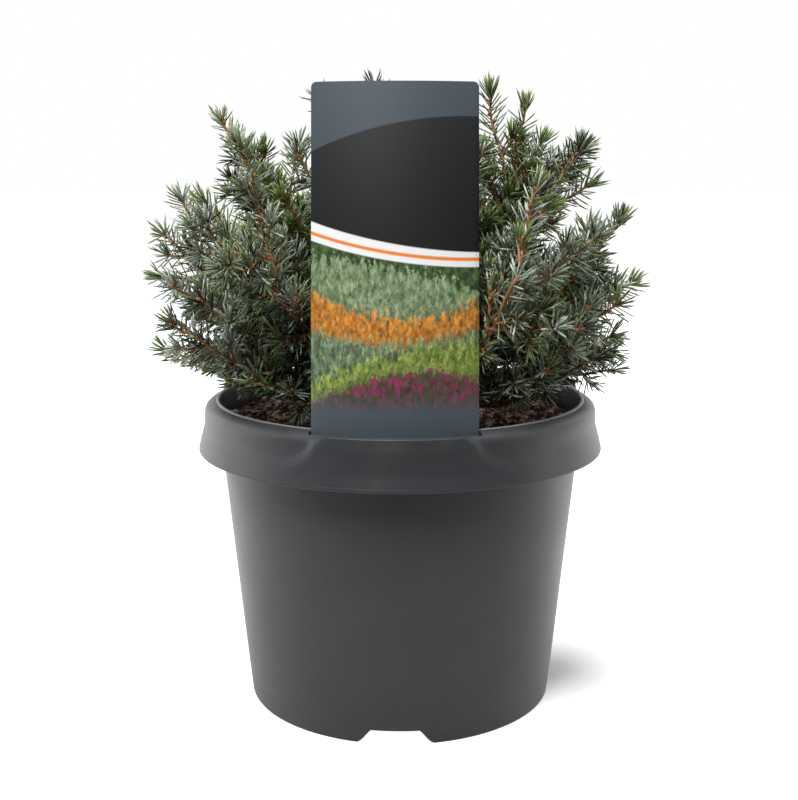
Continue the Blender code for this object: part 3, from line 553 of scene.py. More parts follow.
def shader_tree(name, colour, roughness):
    """A material, its nodes' tree and its Principled shader with plain values."""
    made = bpy.data.materials.new(name)
    made.use_nodes = True
    shader = made.node_tree.nodes["Principled BSDF"]
    shader.inputs["Base Color"].default_value = (*colour, 1.0)
    shader.inputs["Roughness"].default_value = roughness
    return made, made.node_tree, shader


def add_node(tree, kind, **settings):
    """A node with its inputs set by name."""
    node = tree.nodes.new(kind)
    for key, value in settings.items():
        node.inputs[key].default_value = value
    return node


def feed(tree, socket, value):
    """Feed an input by another node's socket, a number or a plain colour."""
    if isinstance(value, (int, float)):
        socket.default_value = value
    elif isinstance(value, tuple):
        socket.default_value = (*value, 1.0)
    else:
        tree.links.new(value, socket)


def math_node(tree, operation, first, second):
    """A Math node. Returns its output."""
    node = tree.nodes.new("ShaderNodeMath")
    node.operation = operation
    feed(tree, node.inputs[0], first)
    feed(tree, node.inputs[1], second)
    return node.outputs[0]


def vector_node(tree, operation, first, second=None):
    """A Vector Math node on a socket and a plain vector. Returns its outputs."""
    node = tree.nodes.new("ShaderNodeVectorMath")
    node.operation = operation
    tree.links.new(first, node.inputs[0])
    if second is not None:
        node.inputs[1].default_value = second
    return node.outputs


def distance_to(tree, place, centre):
    """How far a place is from a centre."""
    return vector_node(tree, "LENGTH", vector_node(tree, "SUBTRACT", place, centre)[0])["Value"]


def ramp(tree, value, low, high, to_low=0.0, to_high=1.0):
    """A clamped run from low and high to two other values. Returns its output."""
    node = tree.nodes.new("ShaderNodeMapRange")
    for name, number in (("From Min", low), ("From Max", high),
                         ("To Min", to_low), ("To Max", to_high)):
        node.inputs[name].default_value = number
    tree.links.new(value, node.inputs["Value"])
    return node.outputs[0]


def cloud_node(tree, place, detail, roughness, scale=1.0):
    """A Noise node on a place."""
    node = add_node(tree, "ShaderNodeTexNoise", Scale=scale, Detail=detail, Roughness=roughness)
    tree.links.new(place, node.inputs["Vector"])
    return node


def object_place(tree):
    """Place on the object, in metres."""
    return tree.nodes.new("ShaderNodeTexCoord").outputs["Object"]


def split(tree, kind, value):
    """The outputs of a node that takes a vector or a colour apart."""
    node = tree.nodes.new(kind)
    tree.links.new(value, node.inputs[0])
    return node.outputs


def add_bump(tree, shader, height, strength, depth):
    """Relief on the shader's Normal from a height."""
    relief = add_node(tree, "ShaderNodeBump", Strength=strength, Distance=depth)
    tree.links.new(height, relief.inputs["Height"])
    tree.links.new(relief.outputs["Normal"], shader.inputs["Normal"])


def colour_mix(tree, share, low, high):
    """A Mix node for colours, fed by sockets or plain colours. Returns its output."""
    node = tree.nodes.new("ShaderNodeMix")
    node.data_type = "RGBA"
    for place, value in ((0, share), (6, low), (7, high)):
        feed(tree, node.inputs[place], value)
    return node.outputs[2]


def value_mix(tree, share, low, high):
    """A Mix node for values. Returns its output."""
    node = tree.nodes.new("ShaderNodeMix")
    for place, value in ((0, share), (2, low), (3, high)):
        feed(tree, node.inputs[place], value)
    return node.outputs[0]


def grain_group():
    """A shared effect: two colours mottled at two scales, with a height to go with them."""
    group = bpy.data.node_groups.new("two_scale_mottle", "ShaderNodeTree")
    face = group.interface
    for name, kind, start in (("Low", "NodeSocketColor", (0.1, 0.1, 0.1, 1)),
                              ("High", "NodeSocketColor", (0.5, 0.5, 0.5, 1)),
                              ("Broad Scale", "NodeSocketFloat", 60.0),
                              ("Fine Scale", "NodeSocketFloat", 600.0),
                              ("Fine Share", "NodeSocketFloat", 0.5)):
        face.new_socket(name, in_out="INPUT", socket_type=kind).default_value = start
    face.new_socket("Colour", in_out="OUTPUT", socket_type="NodeSocketColor")
    face.new_socket("Height", in_out="OUTPUT", socket_type="NodeSocketFloat")
    inside = group.nodes.new("NodeGroupInput").outputs
    outside = group.nodes.new("NodeGroupOutput").inputs
    place = object_place(group)
    waves = []
    for scale in ("Broad Scale", "Fine Scale"):
        wave = cloud_node(group, place, 4.0, 0.6)
        group.links.new(inside[scale], wave.inputs["Scale"])
        waves.append(wave.outputs["Fac"])
    height = ramp(group, value_mix(group, inside["Fine Share"], *waves), *MOTTLE_SPAN)
    shade = colour_mix(group, height, inside["Low"], inside["High"])
    group.links.new(shade, outside["Colour"])
    group.links.new(height, outside["Height"])
    return group


def grain_node(tree, group, low, high, broad, fine, share):
    """The shared mottle placed in a material with its own values. Returns its outputs."""
    grain = tree.nodes.new("ShaderNodeGroup")
    grain.node_tree = group
    for name, value in (("Low", (*low, 1)), ("High", (*high, 1)), ("Broad Scale", broad),
                        ("Fine Scale", fine), ("Fine Share", share)):
        grain.inputs[name].default_value = value
    return grain.outputs


def mottled(group, name, low, high, roughness, broad, fine, share, depth):
    """A material whose colour and bump come from the shared mottle."""
    made, tree, shader = shader_tree(name, low, roughness)
    grain = grain_node(tree, group, low, high, broad, fine, share)
    tree.links.new(grain["Colour"], shader.inputs["Base Color"])
    add_bump(tree, shader, grain["Height"], 0.6, depth)
    return made


def limb_material(group):
    """Dark old bark near the trunk, turning orange-brown outwards along the boughs."""
    made = mottled(group, *OLD_BARK)
    tree = made.node_tree
    shader = tree.nodes["Principled BSDF"]
    far = distance_to(tree, object_place(tree), HEART)
    young = ramp(tree, far, BOUGH_END * 0.80, BOUGH_END * 1.10)
    grain = shader.inputs["Base Color"].links[0].from_node
    shade = colour_mix(tree, young, grain.outputs["Colour"], YOUNG_LIMB)
    tree.links.new(shade, shader.inputs["Base Color"])
    return made


def pot_material(group):
    """Satin anthracite plastic: a fine moulded grain, brown dust on the collar, a painted highlight
    along the top of the lip and an inside wall that is darker above the soil."""
    made, tree, shader = shader_tree("anthracite_plastic", POT_PLAIN, 0.42)
    shader.inputs["Specular IOR Level"].default_value = 0.40
    place = object_place(tree)
    height = split(tree, "ShaderNodeSeparateXYZ", place)["Z"]
    patches = cloud_node(tree, place, 5.0, 0.62, POT_DUST_SCALE).outputs["Fac"]
    on_collar = ramp(tree, height, *DUST_START_Z)
    dust = math_node(tree, "MULTIPLY", ramp(tree, patches, *POT_DUST_PATCHES), on_collar)
    dust = math_node(tree, "MULTIPLY", dust, POT_DUST_SHARE)
    grain = grain_node(tree, group, *POT_GRAIN)
    shade = colour_mix(tree, dust, grain["Colour"], POT_DUST)
    # Painted highlight: a pale band along the top of the lip
    lip_highlight = ramp(tree, height, LIP_Z - POT_LIP_HIGHLIGHT_DEPTH, LIP_Z, 0.0, POT_LIP_HIGHLIGHT_SHARE)
    shade = colour_mix(tree, lip_highlight, shade, POT_LIP_HIGHLIGHT)
    level = vector_node(tree, "MULTIPLY", place, (1.0, 1.0, 0.0))[0]
    from_axis = vector_node(tree, "LENGTH", level)["Value"]
    # The inside of the wall above the soil is darker
    outer, inner = (LIP_RADIUS - WALL * share for share in POT_INSIDE_DARK_START)
    inside_dark = ramp(tree, from_axis, outer, inner, 0.0, POT_INSIDE_DARK_SHARE)
    high = ramp(tree, height, SOIL_EDGE_Z - 0.004, SOIL_EDGE_Z - 0.003)
    shade = colour_mix(tree, math_node(tree, "MULTIPLY", inside_dark, high), shade, POT_INSIDE_DARK)
    tree.links.new(shade, shader.inputs["Base Color"])
    tree.links.new(ramp(tree, patches, 0.0, 1.0, *POT_ROUGHNESS), shader.inputs["Roughness"])
    add_bump(tree, shader, grain["Height"], 0.25, 0.00005)
    return made


def card_material():
    """Print of a plain generic design: a charcoal field over a band and drifts of planting."""
    made, tree, shader = shader_tree("printed_card", CHARCOAL_INK, 0.5)
    shader.inputs["Specular IOR Level"].default_value = 0.20
    print_map = tree.nodes.new("ShaderNodeUVMap")
    print_map.uv_map = "print"
    place = print_map.outputs[0]
    across, up = split(tree, "ShaderNodeSeparateXYZ", place)[:2]

    def over(edge, softness=0.002):
        """1 above a line that is given as a height or a socket."""
        return ramp(tree, math_node(tree, "SUBTRACT", up, edge), -softness, softness)

    def line(left, right, sag):
        """Height of a gently curved line across the card."""
        slope = math_node(tree, "MULTIPLY", across, right - left)
        bow = math_node(tree, "MULTIPLY", across, math_node(tree, "SUBTRACT", 1.0, across))
        bow = math_node(tree, "MULTIPLY", bow, 4.0 * sag)
        return math_node(tree, "ADD", math_node(tree, "ADD", slope, left), bow)

    # Soft drifts of planting, each in its own colours, with ragged edges and leafy light
    leaves = cloud_node(tree, place, 6.0, 0.75, 30.0).outputs["Fac"]
    ragged = math_node(tree, "SUBTRACT", leaves, 0.5)
    ragged = math_node(tree, "MULTIPLY", ragged, DRIFT_RAGGED)
    petals = add_node(tree, "ShaderNodeTexVoronoi", Scale=60.0)
    tree.links.new(place, petals.inputs["Vector"])
    pick = split(tree, "ShaderNodeSeparateColor", petals.outputs["Color"])
    planting = colour_mix(tree, pick[0], *PLANTING_GREENS)
    for left, right, sag, low, high in PLANTING_DRIFTS:
        edge = math_node(tree, "ADD", line(left, right, sag), ragged)
        bed = colour_mix(tree, pick[1], low, high)
        planting = colour_mix(tree, over(edge, DRIFT_SOFTNESS), bed, planting)
    light = ramp(tree, leaves, *PLANTING_LIGHT)
    shade = colour_mix(tree, light, PLANTING_SHADE, planting)
    shade = colour_mix(tree, over(*FOOT_FADE), FOOT_INK, shade)
    for left, right, sag, ink in PRINT_LINES:
        shade = colour_mix(tree, over(line(left, right, sag)), shade, ink)
    tree.links.new(shade, shader.inputs["Base Color"])
    flecks = cloud_node(tree, place, 3.0, 0.5, 40.0).outputs["Fac"]
    tree.links.new(ramp(tree, flecks, 0.0, 1.0, *CARD_ROUGHNESS), shader.inputs["Roughness"])
    return made


# Pot

def into_pocket(turn):
    """How far an angle lies inside a pocket's ends, positive inside, in radians."""
    turn = turn % FULL_TURN
    front = turn - FULL_TURN if turn > math.pi else turn
    inside_front = min(front - FRONT_POCKET[0], FRONT_POCKET[1] - front)
    inside_rear = min(turn - REAR_POCKET[0], REAR_POCKET[1] - turn)
    return inside_front, inside_rear


def ease(share):
    """A soft step from 0 to 1."""
    share = min(1.0, max(0.0, share))
    return share * share * (3.0 - 2.0 * share)


def skirt_radius(z, turn):
    """Outside of the collar's skirt, set back in a side panel with a rounded lower corner."""
    from_end = max(0.0, PANEL_CORNER + PANEL_STRETCH * COLLAR_RADIUS * max(into_pocket(turn)))
    from_foot = max(0.0, PANEL_CORNER + PANEL_FOOT_Z - z)
    far = math.hypot(from_end, from_foot)
    run = mix(PANEL_RUN * PANEL_STRETCH, PANEL_FOOT_RUN, (from_foot / far) ** 2 if far > 0 else 1.0)
    return from_table(SKIRT, z) - PANEL_STEP * ease((PANEL_CORNER - far) / run)


def pot_section(turn):
    """The pot's closed section at one angle, from the middle of the underside round to
    the middle of the floor, as (radius, height)."""
    inside_front, inside_rear = into_pocket(turn)
    rim_inside = FOOT_RADIUS - FOOT_RIM_WIDTH
    band = wall_radius(FOOT_BAND_Z)
    underside = [(0.0, FLOOR_UNDER_Z), (UNDERSIDE_FLAT, FLOOR_UNDER_Z),
                 (rim_inside - 0.0008, FLOOR_UNDER_Z),
                 (rim_inside - RIM_EASE, FLOOR_UNDER_Z - 2 * RIM_EASE),
                 (rim_inside, RIM_EASE), (rim_inside + RIM_EASE, 0.0)]
    for step in range(5):
        bend = math.pi / 2 * step / 4
        underside.append((wall_radius(FOOT_ROUND) - FOOT_ROUND * (1 - math.sin(bend)),
                          FOOT_ROUND * (1 - math.cos(bend))))
    underside += [(wall_radius(0.0080), 0.0080), (band, FOOT_BAND_Z - 0.0002),
                  (band - FOOT_BAND_STEP, FOOT_BAND_Z + 0.0002)]
    wall = [(wall_radius(z) - FOOT_BAND_STEP * (1 - z / HOLLOW_ROOF_Z), z)
            for z in (0.0300, 0.0500, 0.0700, 0.0900, 0.1100, 0.1250)]
    wall.append((wall_radius(HOLLOW_ROOF_Z), HOLLOW_ROOF_Z))
    hollow = [(skirt_radius(z, turn) - COLLAR_SKIN, z)
              for z in (HOLLOW_ROOF_Z, 0.1345, 0.1310, 0.1270, 0.1236, COLLAR_EDGE_Z)]
    skirt = [(skirt_radius(z, turn), z) for z, radius in SKIRT]
    stands_out = skirt[-1][0] - (SKIRT[-1][1] - PANEL_STEP)
    shoulder = [(radius + stands_out * (1 - place / (len(SHOULDER) - 1)), z)
                for place, (z, radius) in enumerate(SHOULDER)]
    pocket = ease(max(inside_front, inside_rear) / POCKET_BLEND)
    if pocket > 0.0:
        top = FRONT_POCKET_TOP_Z if inside_front > 0.0 else REAR_POCKET_TOP_Z
        edge = SKIRT[-1][1]
        flat = [(edge - POCKET_EDGE * (1 - math.cos(bend)), top - POCKET_EDGE * (1 - math.sin(bend)))
                for bend in (0.0, 0.5, 1.0, math.pi / 2)]
        flat += [(edge - POCKET_EDGE - 0.0003, top), (SLOT_INNER + 0.0020, top)]
        shoulder = [(mix(r, flat_r, pocket), mix(z, flat_z, pocket))
                    for (r, z), (flat_r, flat_z) in zip(shoulder, flat)]
    middle, half = LIP_RADIUS + LIP_BEAD - WALL / 2, WALL / 2 + LIP_BEAD
    lip = [(middle + half * math.cos(bend), LIP_Z - half * 0.8 + half * math.sin(bend))
           for bend in (0.0, 0.4, 0.8, 1.2, math.pi / 2, 1.95, 2.35, 2.75, math.pi)]
    inside = [(wall_radius(z) - WALL, z) for z in (0.1300, 0.0700, FLOOR_TOP_Z + WALL)]
    inside += [(wall_radius(FLOOR_TOP_Z) - WALL * 2, FLOOR_TOP_Z), (0.0, FLOOR_TOP_Z)]
    return underside + wall + hollow + skirt + shoulder + lip + inside


def arc_cutter(name, ends, outer):
    """A curved bar that cuts a slot between two angles."""
    low, high = HOLLOW_ROOF_Z - 0.0012, LIP_Z + 0.0060
    bm = bmesh.new()
    corners = ((SLOT_INNER, low), (outer, low), (outer, high), (SLOT_INNER, high))
    face = bm.faces.new([bm.verts.new(round_point(ends[0], radius, z)) for radius, z in corners])
    sweep = ends[1] - ends[0]
    bmesh.ops.spin(bm, geom=[face], cent=(0, 0, 0), axis=(0, 0, 1), angle=sweep,
                   steps=max(12, round(math.degrees(sweep) / 1.5)), use_duplicate=False)
    return cutter_object(name, bm)


def notch_cutter(name, turn):
    """A tapering notch with round shoulders, cut through the foot."""
    shares = [step / NOTCH_STEPS for step in range(NOTCH_STEPS + 1)]
    half = [(mix(NOTCH_TOP_HALF, NOTCH_FOOT_HALF, share),
             NOTCH_HEIGHT * (1.0 - ease(share ** NOTCH_FLANK))) for share in shares]
    half.append((NOTCH_FOOT_HALF, -0.002))
    outline = half + [(-x, z) for x, z in half[::-1]]
    across = Vector((math.cos(turn), math.sin(turn), 0.0))
    outwards = round_point(turn, 1.0, 0.0)
    bm = bmesh.new()
    face = bm.faces.new([bm.verts.new(across * x + outwards * NOTCH_INNER + Vector((0, 0, z)))
                         for x, z in outline])
    made = bmesh.ops.extrude_face_region(bm, geom=[face])
    moved = [item for item in made["geom"] if isinstance(item, bmesh.types.BMVert)]
    bmesh.ops.translate(bm, verts=moved, vec=outwards * (NOTCH_OUTER - NOTCH_INNER))
    return cutter_object(name, bm)


def cutter_object(name, bm):
    """An object for a shape that only cuts."""
    bmesh.ops.recalc_face_normals(bm, faces=bm.faces)
    return new_object(name, mesh_of(name, bm))


def spun(section, steps):
    """A bmesh turned about the pot's axis from a section of (radius, height)."""
    bm = bmesh.new()
    row = bm.verts.layers.int.new("row")
    verts = [bm.verts.new((0.0, -radius, z)) for radius, z in section]
    for place, vert in enumerate(verts):
        vert[row] = place
    edges = [bm.edges.new(pair) for pair in zip(verts, verts[1:])]
    bmesh.ops.spin(bm, geom=verts + edges, cent=(0, 0, 0), axis=(0, 0, 1), angle=FULL_TURN,
                   steps=steps, use_merge=True, use_duplicate=False)
    bmesh.ops.remove_doubles(bm, verts=bm.verts, dist=1e-6)
    return bm, row


def build_pot(finish):
    """The pot: a turned section whose collar changes round the pot, then slots and notches."""
    bm, row = spun(pot_section(math.pi / 2), POT_STEPS)
    sections = {}
    for vert in bm.verts:
        turn = round(math.atan2(vert.co.x, -vert.co.y), 5)
        if turn not in sections:
            sections[turn] = pot_section(turn)
        radius, z = sections[turn][vert[row]]
        if radius > 0.0:
            vert.co = round_point(turn, radius, z)
    bmesh.ops.recalc_face_normals(bm, faces=bm.faces)
    pot = add_piece("pot_moulding", bm, finish, ["pot"])
    cutters = [arc_cutter("front_slot", FRONT_SLOT, FRONT_SLOT_OUTER),
               arc_cutter("rear_slot", REAR_SLOT, REAR_SLOT_OUTER)]
    cutters += [notch_cutter(f"notch_{number}", NOTCH_TURN + FULL_TURN * number / NOTCH_COUNT)
                for number in range(NOTCH_COUNT)]
    for cutter in cutters:
        modifier = pot.modifiers.new("Cut " + cutter.name, "BOOLEAN")
        modifier.operation = "DIFFERENCE"
        modifier.solver = "EXACT"
        modifier.object = cutter
    bake_modifiers(pot)
    for cutter in cutters:
        bpy.data.objects.remove(cutter, do_unlink=True)
    pot.data.shade_smooth()
    pot.data.set_sharp_from_angle(angle=POT_SHARP)


def bake_modifiers(piece):
    """Apply a piece's modifiers to its mesh."""
    bpy.context.view_layer.update()
    graph = bpy.context.evaluated_depsgraph_get()
    final = bpy.data.meshes.new_from_object(piece.evaluated_get(graph), depsgraph=graph)
    piece.modifiers.clear()
    piece.data = final


# Soil

def soil_height(x, y):
    """Height of the compost's surface, with its lumps."""
    share = min(1.0, math.hypot(x, y) / wall_radius(SOIL_EDGE_Z))
    base = mix(SOIL_HEART_Z, SOIL_EDGE_Z, share ** SOIL_DISH)
    place = Vector((x, y, 0.0))
    broad = noise.fractal(place * SOIL_LUMP_SCALE, 1.0, 2.0, 3)
    coarse, fine = (abs(noise.noise(place * scale)) for scale in SOIL_CRUMB_SCALES)
    crumbs = coarse + 0.5 * fine
    return base + SOIL_LUMP * (0.9 * broad + 1.1 * crumbs - 0.3)


def build_soil(finish):
    """The compost: a filled body with a crumbly top."""
    clear = WALL + 2 * GAP
    edge = wall_radius(SOIL_EDGE_Z) - clear
    bevel_z, middle_z = 0.0130, 0.0900
    section = [(0.0, FLOOR_TOP_Z + GAP), (wall_radius(bevel_z) - clear - WALL, FLOOR_TOP_Z + GAP),
               (wall_radius(bevel_z) - clear, bevel_z), (wall_radius(middle_z) - clear, middle_z)]
    section += [(edge * (1.0 - step / SOIL_RINGS), SOIL_EDGE_Z) for step in range(SOIL_RINGS + 1)]
    bm, row = spun(section, SOIL_STEPS)
    for vert in bm.verts:
        if vert.co.z > SOIL_EDGE_Z - 1e-5:
            vert.co.z = soil_height(vert.co.x, vert.co.y)
    bmesh.ops.recalc_face_normals(bm, faces=bm.faces)
    add_piece("compost", bm, finish, ["soil"], math.radians(180))


def chip_templates():
    """A few bark chips as (points, faces): cracked slabs a unit long."""
    shapes = []
    chance = random.Random(CHIP_SHAPE_SEED)
    for number in range(CHIP_SHAPES):
        bm = bmesh.new()
        bmesh.ops.create_cube(bm, size=1.0)
        bmesh.ops.subdivide_edges(bm, edges=bm.edges, cuts=1, use_grid_fill=True)
        for vert in bm.verts:
            vert.co += Vector([chance.uniform(-CHIP_CRACKED, CHIP_CRACKED) for axis in range(3)])
        bmesh.ops.smooth_vert(bm, verts=bm.verts, factor=CHIP_WORN, use_axis_x=True,
                              use_axis_y=True, use_axis_z=True)
        bmesh.ops.recalc_face_normals(bm, faces=bm.faces)
        shapes.append(template_of(bm))
    return shapes


def template_of(bm):
    """Points and faces of a small shape, which is then repeated in one joined mesh."""
    bm.verts.index_update()
    points = np.array([vert.co for vert in bm.verts])
    faces = [[vert.index for vert in face.verts] for face in bm.faces]
    bm.free()
    return points, faces


def joined_mesh(name, points, faces):
    """A mesh of many copies: points is (copies, points each, 3), faces those of one copy."""
    copies, each = points.shape[0], points.shape[1]
    corners = np.array([corner for face in faces for corner in face])
    sizes = np.array([len(face) for face in faces])
    starts = np.concatenate(([0], np.cumsum(sizes)[:-1]))
    offsets = np.arange(copies)[:, None]
    mesh = bpy.data.meshes.new(name)
    mesh.vertices.add(copies * each)
    mesh.vertices.foreach_set("co", points.reshape(-1).astype(np.float32))
    mesh.loops.add(copies * len(corners))
    mesh.loops.foreach_set("vertex_index", (corners[None, :] + offsets * each).reshape(-1))
    mesh.polygons.add(copies * len(faces))
    mesh.polygons.foreach_set("loop_start", (starts[None, :] + offsets * len(corners)).reshape(-1))
    mesh.update(calc_edges=True)
    mesh.validate()
    return mesh


def triangles_of(faces):
    """How many triangles a shape's faces make."""
    return sum(len(face) - 2 for face in faces)


def add_copies(name, points, faces, finish, replaced=(), smooth=True):
    """Joined pieces, each under the triangle limit."""
    most = PIECE_LIMIT // triangles_of(faces)
    parts = -(-len(points) // most)
    for part in range(parts):
        mesh = joined_mesh(name, points[part::parts], faces)
        if smooth:
            mesh.shade_smooth()
        mesh.materials.append(finish)
        label = name if parts == 1 else f"{name}_{part + 1}"
        settle(new_object(label, mesh), replaced)


def turned(points, turns):
    """Points turned about X, Y and Z."""
    for axis, angle in enumerate(turns):
        first, second = [(1, 2), (2, 0), (0, 1)][axis]
        cosine, sine = math.cos(angle), math.sin(angle)
        moved = points.copy()
        moved[:, first] = points[:, first] * cosine - points[:, second] * sine
        moved[:, second] = points[:, first] * sine + points[:, second] * cosine
        points = moved
    return points


def build_chips(grain):
    """Bark chips and crumbs on the compost, in three colours."""
    chance = random.Random(CHIP_SEED)
    shapes = chip_templates()
    room = wall_radius(SOIL_EDGE_Z) - WALL - CHIP_EDGE_CLEAR
    piles = {name: [] for name, share, finish in CHIPS}
    shares = [share for name, share, finish in CHIPS]
    for number in range(CHIP_COUNT):
        radius = room * math.sqrt(chance.random())
        turn = chance.uniform(0, FULL_TURN)
        if radius < TRUNK_FLARE + CHIP_TRUNK_CLEAR:
            continue
        long = mix(*CHIP_LONG, chance.random() ** CHIP_FEW_LONG)
        wide = long * chance.uniform(*CHIP_WIDTHS)
        thick = long * chance.uniform(*CHIP_DEPTHS)
        points = shapes[number % len(shapes)][0] * (long, wide, thick)
        points = turned(points, (chance.uniform(-CHIP_TILT, CHIP_TILT),
                                 chance.uniform(-CHIP_TILT, CHIP_TILT),
                                 chance.uniform(0, FULL_TURN)))
        x, y = radius * math.sin(turn), -radius * math.cos(turn)
        points = points + (x, y, soil_height(x, y) + thick * CHIP_RAISED)
        pile = chance.choices(list(piles), weights=shares)[0]
        piles[pile].append((number % len(shapes), points))
    for name, share, finish in CHIPS:
        made = mottled(grain, *finish, *CHIP_GRAIN)
        for kind, (unused, faces) in enumerate(shapes):
            found = [points for shape, points in piles[name] if shape == kind]
            add_copies(f"{name}_{kind + 1}", np.array(found), faces, made, smooth=False)


# Label card

def card_middle_x():
    """Where the card's middle stands across the pot."""
    return CARD_BEND * math.sin(CARD_TURN)


def card_y(z):
    """How far forward the card stands at a height, at its middle."""
    return -CARD_BEND + (z - CARD_SEAT_Z) * math.tan(CARD_LEAN)


def card_point(along, up, out):
    """A point of the bent card: along its width, up its length, out of its middle."""
    turn = along / CARD_BEND + CARD_TURN
    radius = CARD_BEND + out
    return Vector((radius * math.sin(turn), -radius * math.cos(turn) + up * math.sin(CARD_LEAN),
                   CARD_SEAT_Z + up * math.cos(CARD_LEAN)))


def build_card(finish):
    """The card, cut flat with round upper corners and softened edges, then bent."""
    half = math.asin(CARD_HALF_WIDTH / CARD_BEND) * CARD_BEND
    height = CARD_ABOVE + CARD_BELOW
    bm = bmesh.new()
    bmesh.ops.create_cube(bm, size=1.0)
    bmesh.ops.scale(bm, vec=(2 * half, CARD_THICKNESS, height), verts=bm.verts)
    bmesh.ops.translate(bm, vec=(0, 0, CARD_ABOVE - height / 2), verts=bm.verts)
    corners = [edge for edge in bm.edges
               if min(vert.co.z for vert in edge.verts) > CARD_ABOVE - 1e-5
               and abs(edge.verts[0].co.x - edge.verts[1].co.x) < 1e-6]
    bmesh.ops.bevel(bm, geom=corners, offset=CARD_CORNER, segments=8, profile=0.5,
                    affect="EDGES", material=-1)
    rims = [edge for edge in bm.edges if edge.is_manifold
            and edge.calc_face_angle(0.0) > math.radians(60)]
    bmesh.ops.bevel(bm, geom=rims, offset=CARD_EDGE_ROUND, segments=2, profile=0.5, affect="EDGES",
                    material=-1)
    for strip in range(1, CARD_STRIPS):
        place = mix(-half, half, strip / CARD_STRIPS)
        bmesh.ops.bisect_plane(bm, geom=bm.verts[:] + bm.edges[:] + bm.faces[:],
                               plane_co=(place, 0, 0), plane_no=(1, 0, 0))
    prints = bm.loops.layers.uv.new("print")
    for face in bm.faces:
        for loop in face.loops:
            x, y, z = loop.vert.co
            loop[prints].uv = ((x + half) / (2 * half), z / CARD_ABOVE)
    for vert in bm.verts:
        vert.co = card_point(vert.co.x, vert.co.z, -vert.co.y)
    bmesh.ops.recalc_face_normals(bm, faces=bm.faces)
    add_piece("label_card", bm, finish, ["label"], CARD_SHARP)


# Growing rule of the solids

def seen_from_front(point):
    """A place or a direction turned into the photo's view: across, up and away."""
    cosine, sine = math.cos(CAMERA_PITCH), math.sin(CAMERA_PITCH)
    return Vector((point.x, point.z * cosine + point.y * sine, point.y * cosine - point.z * sine))


def outline_reach(heading):
    """Distance at which a line from the heart meets the crown's outline in the photo."""
    heart = seen_from_front(HEART - Vector(CAMERA_PLACE))
    aim = seen_from_front(heading)
    across = aim.x * heart.z - heart.x * aim.z
    up = aim.y * heart.z - heart.y * aim.z
    rise = math.degrees(math.atan2(up, abs(across)))
    far = from_table(OUTLINE_RIGHT if across > 0 else OUTLINE_LEFT, rise)
    closing = (math.hypot(across, up) - far * aim.z) / heart.z
    return far / closing if closing > 0.2 else 1.0


def reach(heading):
    """Distance from the heart to the needle tips in a direction."""
    rise = math.degrees(math.asin(max(-1.0, min(1.0, heading.z))))
    level = math.hypot(heading.x, heading.y)
    leftness = 0.5 - 0.5 * (heading.x / level if level > 1e-6 else 0.0)
    far = mix(from_table(REACH_RIGHT, rise), from_table(REACH_LEFT, rise), leftness)
    forward = -heading.y
    ahead = max(0.0, forward)
    low = min(1.0, max(0.0, (FRONT_LOW - math.radians(rise)) / (FRONT_LOW - FRONT_LOWEST)))
    far *= 1.0 + FRONT_FULLER * ahead * (1.0 - low) + BACK_SHORTER * min(0.0, forward)
    far *= 1.0 - FRONT_LOW_SHORTER * low * min(1.0, ahead * FRONT_LOW_SPREAD)
    if forward > 0.02:
        # The crown stays behind the card where the card stands
        to_card = (HEART.y - card_y(HEART.z)) / (forward + heading.z * math.tan(CARD_LEAN))
        meeting = HEART + heading * to_card
        if abs(meeting.x - card_middle_x()) < CARD_HALF_WIDTH + 0.004:
            far = min(far, to_card - CARD_NEEDLE_CLEAR)
    return min(far, outline_reach(heading))


def off_neighbours(point, spare=0.0):
    """Whether a point is off the pot, the soil and the card."""
    radius = math.hypot(point.x, point.y)
    if radius < wall_radius(SOIL_EDGE_Z) - WALL - 0.0018:
        lowest = SOIL_CLEAR_Z
    elif radius < COLLAR_RADIUS + 0.0020:
        lowest = POT_CLEAR_Z
    else:
        lowest = COLLAR_EDGE_Z
    if point.z < lowest + spare:
        return False
    if abs(point.x - card_middle_x()) < CARD_HALF_WIDTH + CARD_SIDE_CLEAR + spare:
        sag = CARD_BEND - math.sqrt(CARD_BEND ** 2 - point.x ** 2)
        if point.y < card_y(point.z) + sag + CARD_CLEAR + spare:
            return False
    return True


def crown_floor(x, y):
    """Lowest height of the crown's needles at a place on plan."""
    far = np.hypot(x, y)
    ahead = np.maximum(0.0, -y / np.maximum(far, 1e-6))
    return (HEART.z + UNDERSIDE_RISE + (far - UNDERSIDE_START) * UNDERSIDE_SLOPE
            + UNDERSIDE_FRONT * ahead)


def is_clear(point, own, cells, spare=0.0):
    """Whether a point keeps to its own cell and off the pot, the soil, the card and boughs."""
    offset = point - HEART
    if offset.length < BOUGH_END + GAP:
        return False
    for other in cells:
        apart = own - other
        if other is not own and apart.dot(offset) < (CELL_MARGIN + spare) * apart.length:
            return False
    return off_neighbours(point, spare)


def curve_point(start, bend, end, share):
    """A point on a curve with one control point."""
    return start.lerp(bend, share).lerp(bend.lerp(end, share), share)


def trunk_at(z):
    """The trunk's middle and radius at a height."""
    share = (z - TRUNK_FOOT.z) / (TRUNK_TOP.z - TRUNK_FOOT.z)
    return TRUNK_FOOT.lerp(TRUNK_TOP, share), from_table(TRUNK_TAPER, share)


def crown_cells(chance):
    """The cells: name, heading and height of the bough's foot, ring by ring, then the top."""
    cells = []
    for name, rise, count, foot_z in RINGS:
        for number in range(count):
            bearing = FULL_TURN * number / count + chance.uniform(-1, 1) * TURN_JITTER
            tilt = rise + chance.uniform(-1, 1) * RISE_JITTER
            lift = BOUGH_STAGGER * (1 if number % 2 else -1)
            cells.append((f"{name}_{number + 1}", direction(bearing, tilt), foot_z + lift))
    cells.append(("top", direction(TOP_BEARING, TOP_RISE), None))
    return cells


